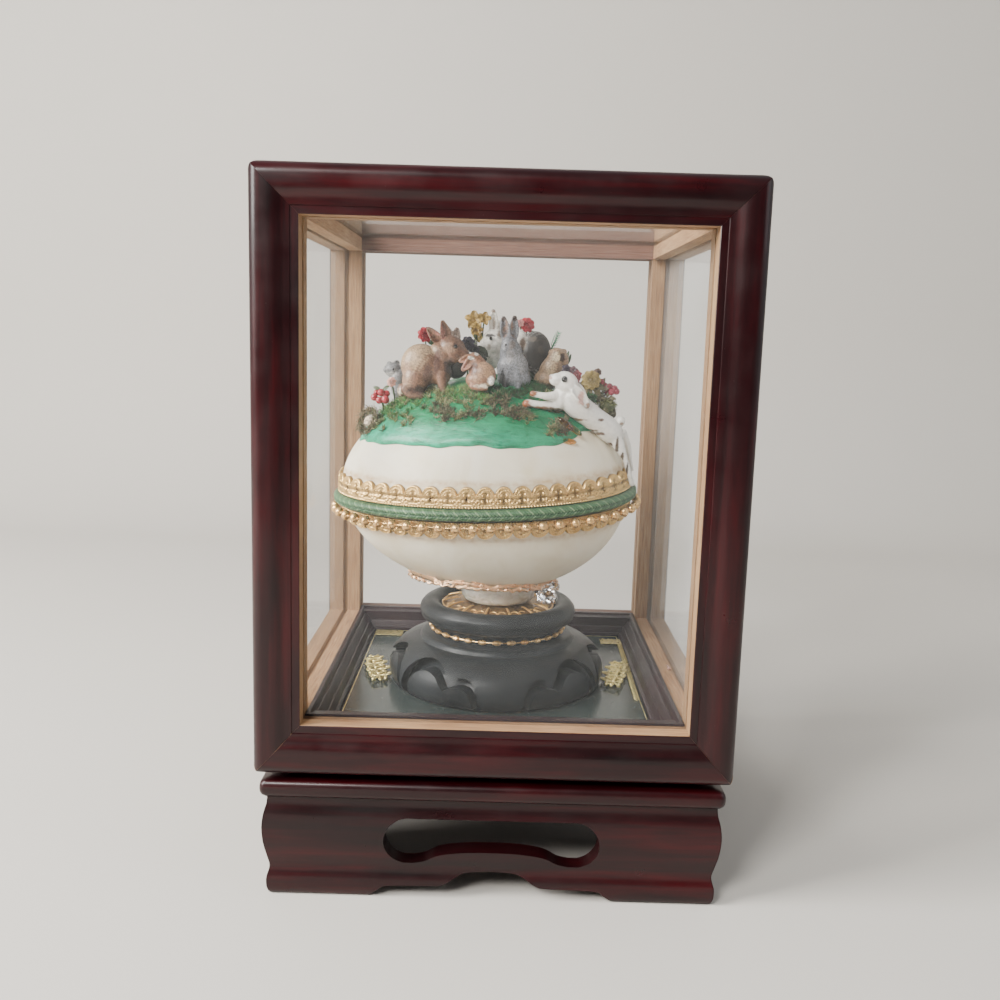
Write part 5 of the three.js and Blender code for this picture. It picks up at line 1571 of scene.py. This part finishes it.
def build_left_flowers():
    berries = Soup()
    for u, v, y, r in ((374.2, 397.2, -10, 1.75), (381.2, 392.6, -9, 1.9), (385.4, 399.6, -10.5, 2.0),
                       (379.2, 400.4, -11, 1.7), (376.6, 392.8, -8, 1.5), (386.6, 393.6, -8, 1.7)):
        berries.add(ball(spot(u, v, y), r, None, 16, 11), paint=np.array((0.5, 0.035, 0.05)) * rng.uniform(0.7, 1.1))
    stem(berries, (-57, -7, 196), spot(381, 397, -8), 0.5)
    leaves(berries, ((381, 391, -7.5, -4.4, 2.2, (0.16, 0.2, 0.12)), (383, 390, 6, -4.2, 1.8, (0.1, 0.14, 0.06))), -8,
           -8)
    berries.piece("left_berries", "berry", "petal_red", ["berries_left"])
    pink, place = Soup(), spot(391.6, 382, -6)
    rose(pink, place, 2.3, (-0.3, -1, 0.2), (0.62, 0.34, 0.26), 4)
    stem(pink, (-52, -5, 200), place, 0.4)
    pink.piece("pink_flower", "petal", "petal_red")
    dark, place = Soup(), spot(468, 343, -9)
    rose(dark, place, 3.2, (0.1, -1, 0.3), (0.055, 0.045, 0.07), 4)
    rose(dark, spot(474.5, 349.5, -8), 2.6, (0.3, -1, 0.4), (0.05, 0.05, 0.06), 3)
    stem(dark, (-18, -9, 211), place, 0.45)
    leaves(dark, ((472, 352, 15, 8, 4.2, (0.04, 0.05, 0.035)),), -8, -6)
    leaves(dark, ((478, 346, 10, 11, 3.4, (0.06, 0.07, 0.05)),), -7, -6)
    dark.piece("dark_flower", "petal", "petal_dark", ["flower_dark"])


def build_fern():
    fern = Soup()
    base, tip = spot(549.5, 352, 5), spot(559.5, 331, 5)
    stem(fern, (20, 5, 216), base, 0.4, (0.02, 0.1, 0.04))
    ahead = tip - base
    side = unit(np.cross(ahead, (0, -1, 0)))
    fern.add(tube([base, (base + tip) / 2 + side * 0.3, tip], [0.5, 0.45, 0.1], 6), paint=(0.01, 0.16, 0.06))
    for k in range(7):
        start = base + ahead * (0.14 + 0.12 * k)
        reach = 2.7 - 0.2 * abs(k - 2.5)
        for flip in (-1, 1):
            end = start + unit(ahead) * reach * 0.8 + side * flip * reach * 0.62
            middle = (start + end) / 2 + side * flip * 0.25
            tone = np.array((0.008, 0.2, 0.075)) * rng.uniform(0.7, 1.4)
            fern.add(tube([start, middle, end], [0.42, 0.5, 0.06], 6, flat=0.5), paint=tone)
    leaves(fern, ((565, 362, 4, -11, 1.4, (0.07, 0.12, 0.05)), (564, 362, 0, -9, 1.4, (0.1, 0.12, 0.06)),
                  (568, 364, 3, -10, 1.4, (0.05, 0.09, 0.04))), 0, 1)
    fern.piece("fern_leaf", "petal", "moss_green")


def build_nest():
    """A ring of twisted moss with a pale hollow, on the hill's left end."""
    nest = Soup()
    centre = spot(367.5, 420.5, -13)
    out = unit(centre - (EGG_X, 0, EGG_Z - 10))
    axes = facing(unit(out + np.array([0.2, -0.9, 0.1])))
    tones = [(0.17, 0.135, 0.075), (0.1, 0.085, 0.045), (0.26, 0.2, 0.12), (0.09, 0.1, 0.04)]
    for _ in range(520):
        t = TAU * rng.random()
        ring = centre + 4.0 * (math.cos(t) * axes[0] + 1.35 * math.sin(t) * axes[1])
        start = ring + np.array([rng.gauss(0, 0.8) for _ in range(3)])
        along = -math.sin(t) * axes[0] + math.cos(t) * axes[1]
        way = unit(along + 0.7 * spread())
        strand = fibre(start, way, rng.uniform(2.0, 3.6), rng.uniform(0.13, 0.24), 1.0)
        nest.add(strand, paint=np.array(rng.choice(tones)) * rng.uniform(0.7, 1.5))
    nest.add(ball(centre - axes[2] * 0.6, (2.4, 3.0, 1.0), axes, 14, 9), paint=(0.55, 0.45, 0.33))
    nest.piece("moss_nest", "moss", "moss_green")


def build_glue():
    glue = Soup()
    for row in ((566, 424, -32.5, (4.6, 1.6, 1.5), -38), (575, 430, -31.5, (4.0, 1.5, 1.4), -36),
                (568, 441.5, -34.5, (4.0, 1.0, 1.4), -4)):
        glue.add(blob(*row))
    glue.piece("amber_glue", "amber", "crystal")


# ---------------------------------------------------------------- gilt on the tray


TRAY_TOP = 66.6


def flourish(soup, x, y, size, mirror):
    """A small gilt bow of scrolls and ribbon loops that lies on the tray."""
    s = np.linspace(0, 1, 24)
    for k, (start, span, radius, dx, dy) in enumerate((
            (0.2, 4.4, 3.0, 0, 0), (3.4, 4.2, 2.6, 3.6, 1.0), (1.2, 4.6, 2.3, -2.6, 3.4),
            (2.2, 4.0, 3.4, 1.4, 5.4), (5.0, 4.4, 2.4, -1.6, -3.2), (0.9, 3.8, 2.6, 3.0, -3.8))):
        a, r = start + span * s, radius * (1 - 0.55 * s)
        line = np.stack([x + mirror * size * (dx + r * np.cos(a)), y + size * (dy + r * np.sin(a)),
                         TRAY_TOP + 0.8 + 0.9 * np.sin(math.pi * s) + 0.2 * k], -1)
        soup.add(tube(line, np.linspace(0.8, 0.44, 24), 6, flat=0.7), 0.9)
        soup.add(ball(line[-1], 1.14, None, 8, 6), 0.95)


def build_tray_gilt():
    bows = Soup()
    for u, v, mirror in ((379, 674, -1), (613, 680, 1)):
        x, y, _ = floor_spot(u, v, TRAY_TOP)
        for dy, size in ((-8, 1.05), (1, 1.15), (10, 1.1), (18, 0.9)):
            flourish(bows, x + mirror * 0.25 * dy, y + dy, size, mirror)
    bows.piece("filigree_bows", "foil", "gilt")
    foil = Soup()
    for v, *ends in ((633, 376, 403), (642, 600, 625)):
        low, high = (floor_spot(u, v, TRAY_TOP) for u in ends)
        x = np.linspace(low[0], high[0], 60)
        r = np.arange(12)[:, None]
        relief = np.abs(np.sin(x * 1.9 + 0.8 * r)) * np.abs(np.sin(0.9 * r + x * 0.7))
        y = (low[1] + high[1]) / 2 - 5 + 9.0 * r / 11 + 0.25 * np.sin(x * 2.4)
        grid = np.stack([x + 0 * y, y, 66.85 + 0.4 * relief], -1)
        foil.add(sheet(grid, 0.2), np.tile(relief.ravel(), 2))
    foil.piece("gilt_strips", "foil", "gilt")
    mesh = Soup()
    a, b = floor_spot(619, 642, TRAY_TOP), floor_spot(637, 700, TRAY_TOP)
    t = np.linspace(0, 1, 9)
    for share in np.arange(46) / 45:
        x, y, _ = a + (b - a) * share
        for side in (-1, 1):
            line = np.stack([x + side * 1.5 * np.sin(math.pi * t), y - 1.2 + 3.2 * t,
                             66.9 + 0.3 * np.sin(TAU * t + side)], -1)
            mesh.add(tube(line, 0.17, 5), 0.8)
    mesh.piece("gilt_mesh_strip", "foil", "gilt")
    place = floor_spot(668, 671, 77.9)
    grid = [[place + (1.6 * s - 0.8 + 0.5 * math.sin(3 * t), 5.0 * t - 2.5, 1.2 + 1.1 * math.sin(2.6 * s + 2 * t))
             for s in np.linspace(0, 1, 6)] for t in np.linspace(0, 1, 9)]
    Soup().add(sheet(grid, 0.3), paint=(0.45, 0.25, 0.2)).piece("fallen_flake", "petal", "petal_red")


# ---------------------------------------------------------------- stage


def area_light(name, place, target, size, power, tone=(1, 1, 1)):
    data = bpy.data.lights.new(name, "AREA")
    data.shape = "RECTANGLE"
    data.size, data.size_y = size
    data.energy = power
    data.color = tone
    made = bpy.data.objects.new(name, data)
    made.location = place
    made.rotation_euler = (Vector(target) - Vector(place)).to_track_quat("-Z", "Y").to_euler()
    bpy.context.collection.objects.link(made)


def build_stage():
    LOOKS["floor"] = stage_look("pale_floor", (0.6, 0.57, 0.525))
    half, deep, wall, bend = 1800.0, 900.0, 1500.0, 260
    curve = [(-900.0, 0.0), (deep - bend, 0.0)]
    curve += [(deep - bend + bend * math.sin(a), bend * (1 - math.cos(a))) for a in np.linspace(0.1, math.pi / 2, 12)]
    curve.append((deep, wall))
    grid = [[(x, y, z) for x in np.linspace(-half, half, 8)] for y, z in curve]
    mesh = bpy.data.meshes.new("pale_backdrop")
    mesh.from_pydata((np.array(grid).reshape(-1, 3) * MM).tolist(), [], grid_faces(len(grid), 8, False))
    mesh.shade_smooth()
    mesh.materials.append(LOOKS["floor"])
    floor = bpy.data.objects.new("pale_backdrop", mesh)
    bpy.context.collection.objects.link(floor)
    world = bpy.data.worlds.new("soft_world")
    bpy.context.scene.world = world
    world.use_nodes = True
    nodes, links = world.node_tree.nodes, world.node_tree.links
    where = nodes.new("ShaderNodeTexCoord")
    split = nodes.new("ShaderNodeSeparateXYZ")
    ramp = nodes.new("ShaderNodeMapRange")
    ramp.inputs["From Min"].default_value, ramp.inputs["From Max"].default_value = -0.75, 0.7
    ramp.inputs["To Min"].default_value, ramp.inputs["To Max"].default_value = 0.12, 0.8
    links.new(where.outputs["Generated"], split.inputs[0])
    links.new(split.outputs["Y"], ramp.inputs["Value"])
    links.new(ramp.outputs[0], nodes["Background"].inputs["Strength"])
    nodes["Background"].inputs["Color"].default_value = (0.94, 0.97, 1.0, 1)
    area_light("window_left", (-1.15, -0.45, 0.8), (0, 0, 0.16), (0.6, 0.9), 52, (1.0, 0.98, 0.94))
    area_light("front_left", (-0.6, -1.1, 1.0), (0, 0, 0.17), (0.4, 0.4), 24, (1.0, 0.985, 0.95))
    area_light("fill_right", (1.3, -0.5, 0.8), (0, 0, 0.15), (0.9, 0.9), 5, (0.95, 0.97, 1.0))


# ---------------------------------------------------------------- build

for build in (build_camera, build_looks, build_stage, build_case, build_base, dress_own_meshes, build_tray,
              build_stand, build_neck_beads, build_seat, build_clear_stones, build_egg):
    build()
build_scallops("upper_braid", "braid_upper", 7.7, 1)
build_scallops("lower_braid", "braid_lower", 1.4, -1, 8.2)
for build in (build_cord, build_bead_string, build_garland, build_hill, build_moss, build_brown_rabbits,
              build_middle_rabbits, build_leaping_rabbit, build_grey_animal, build_roses, build_daffodils,
              build_right_flowers, build_left_flowers, build_fern, build_nest, build_glue, build_tray_gilt):
    build()
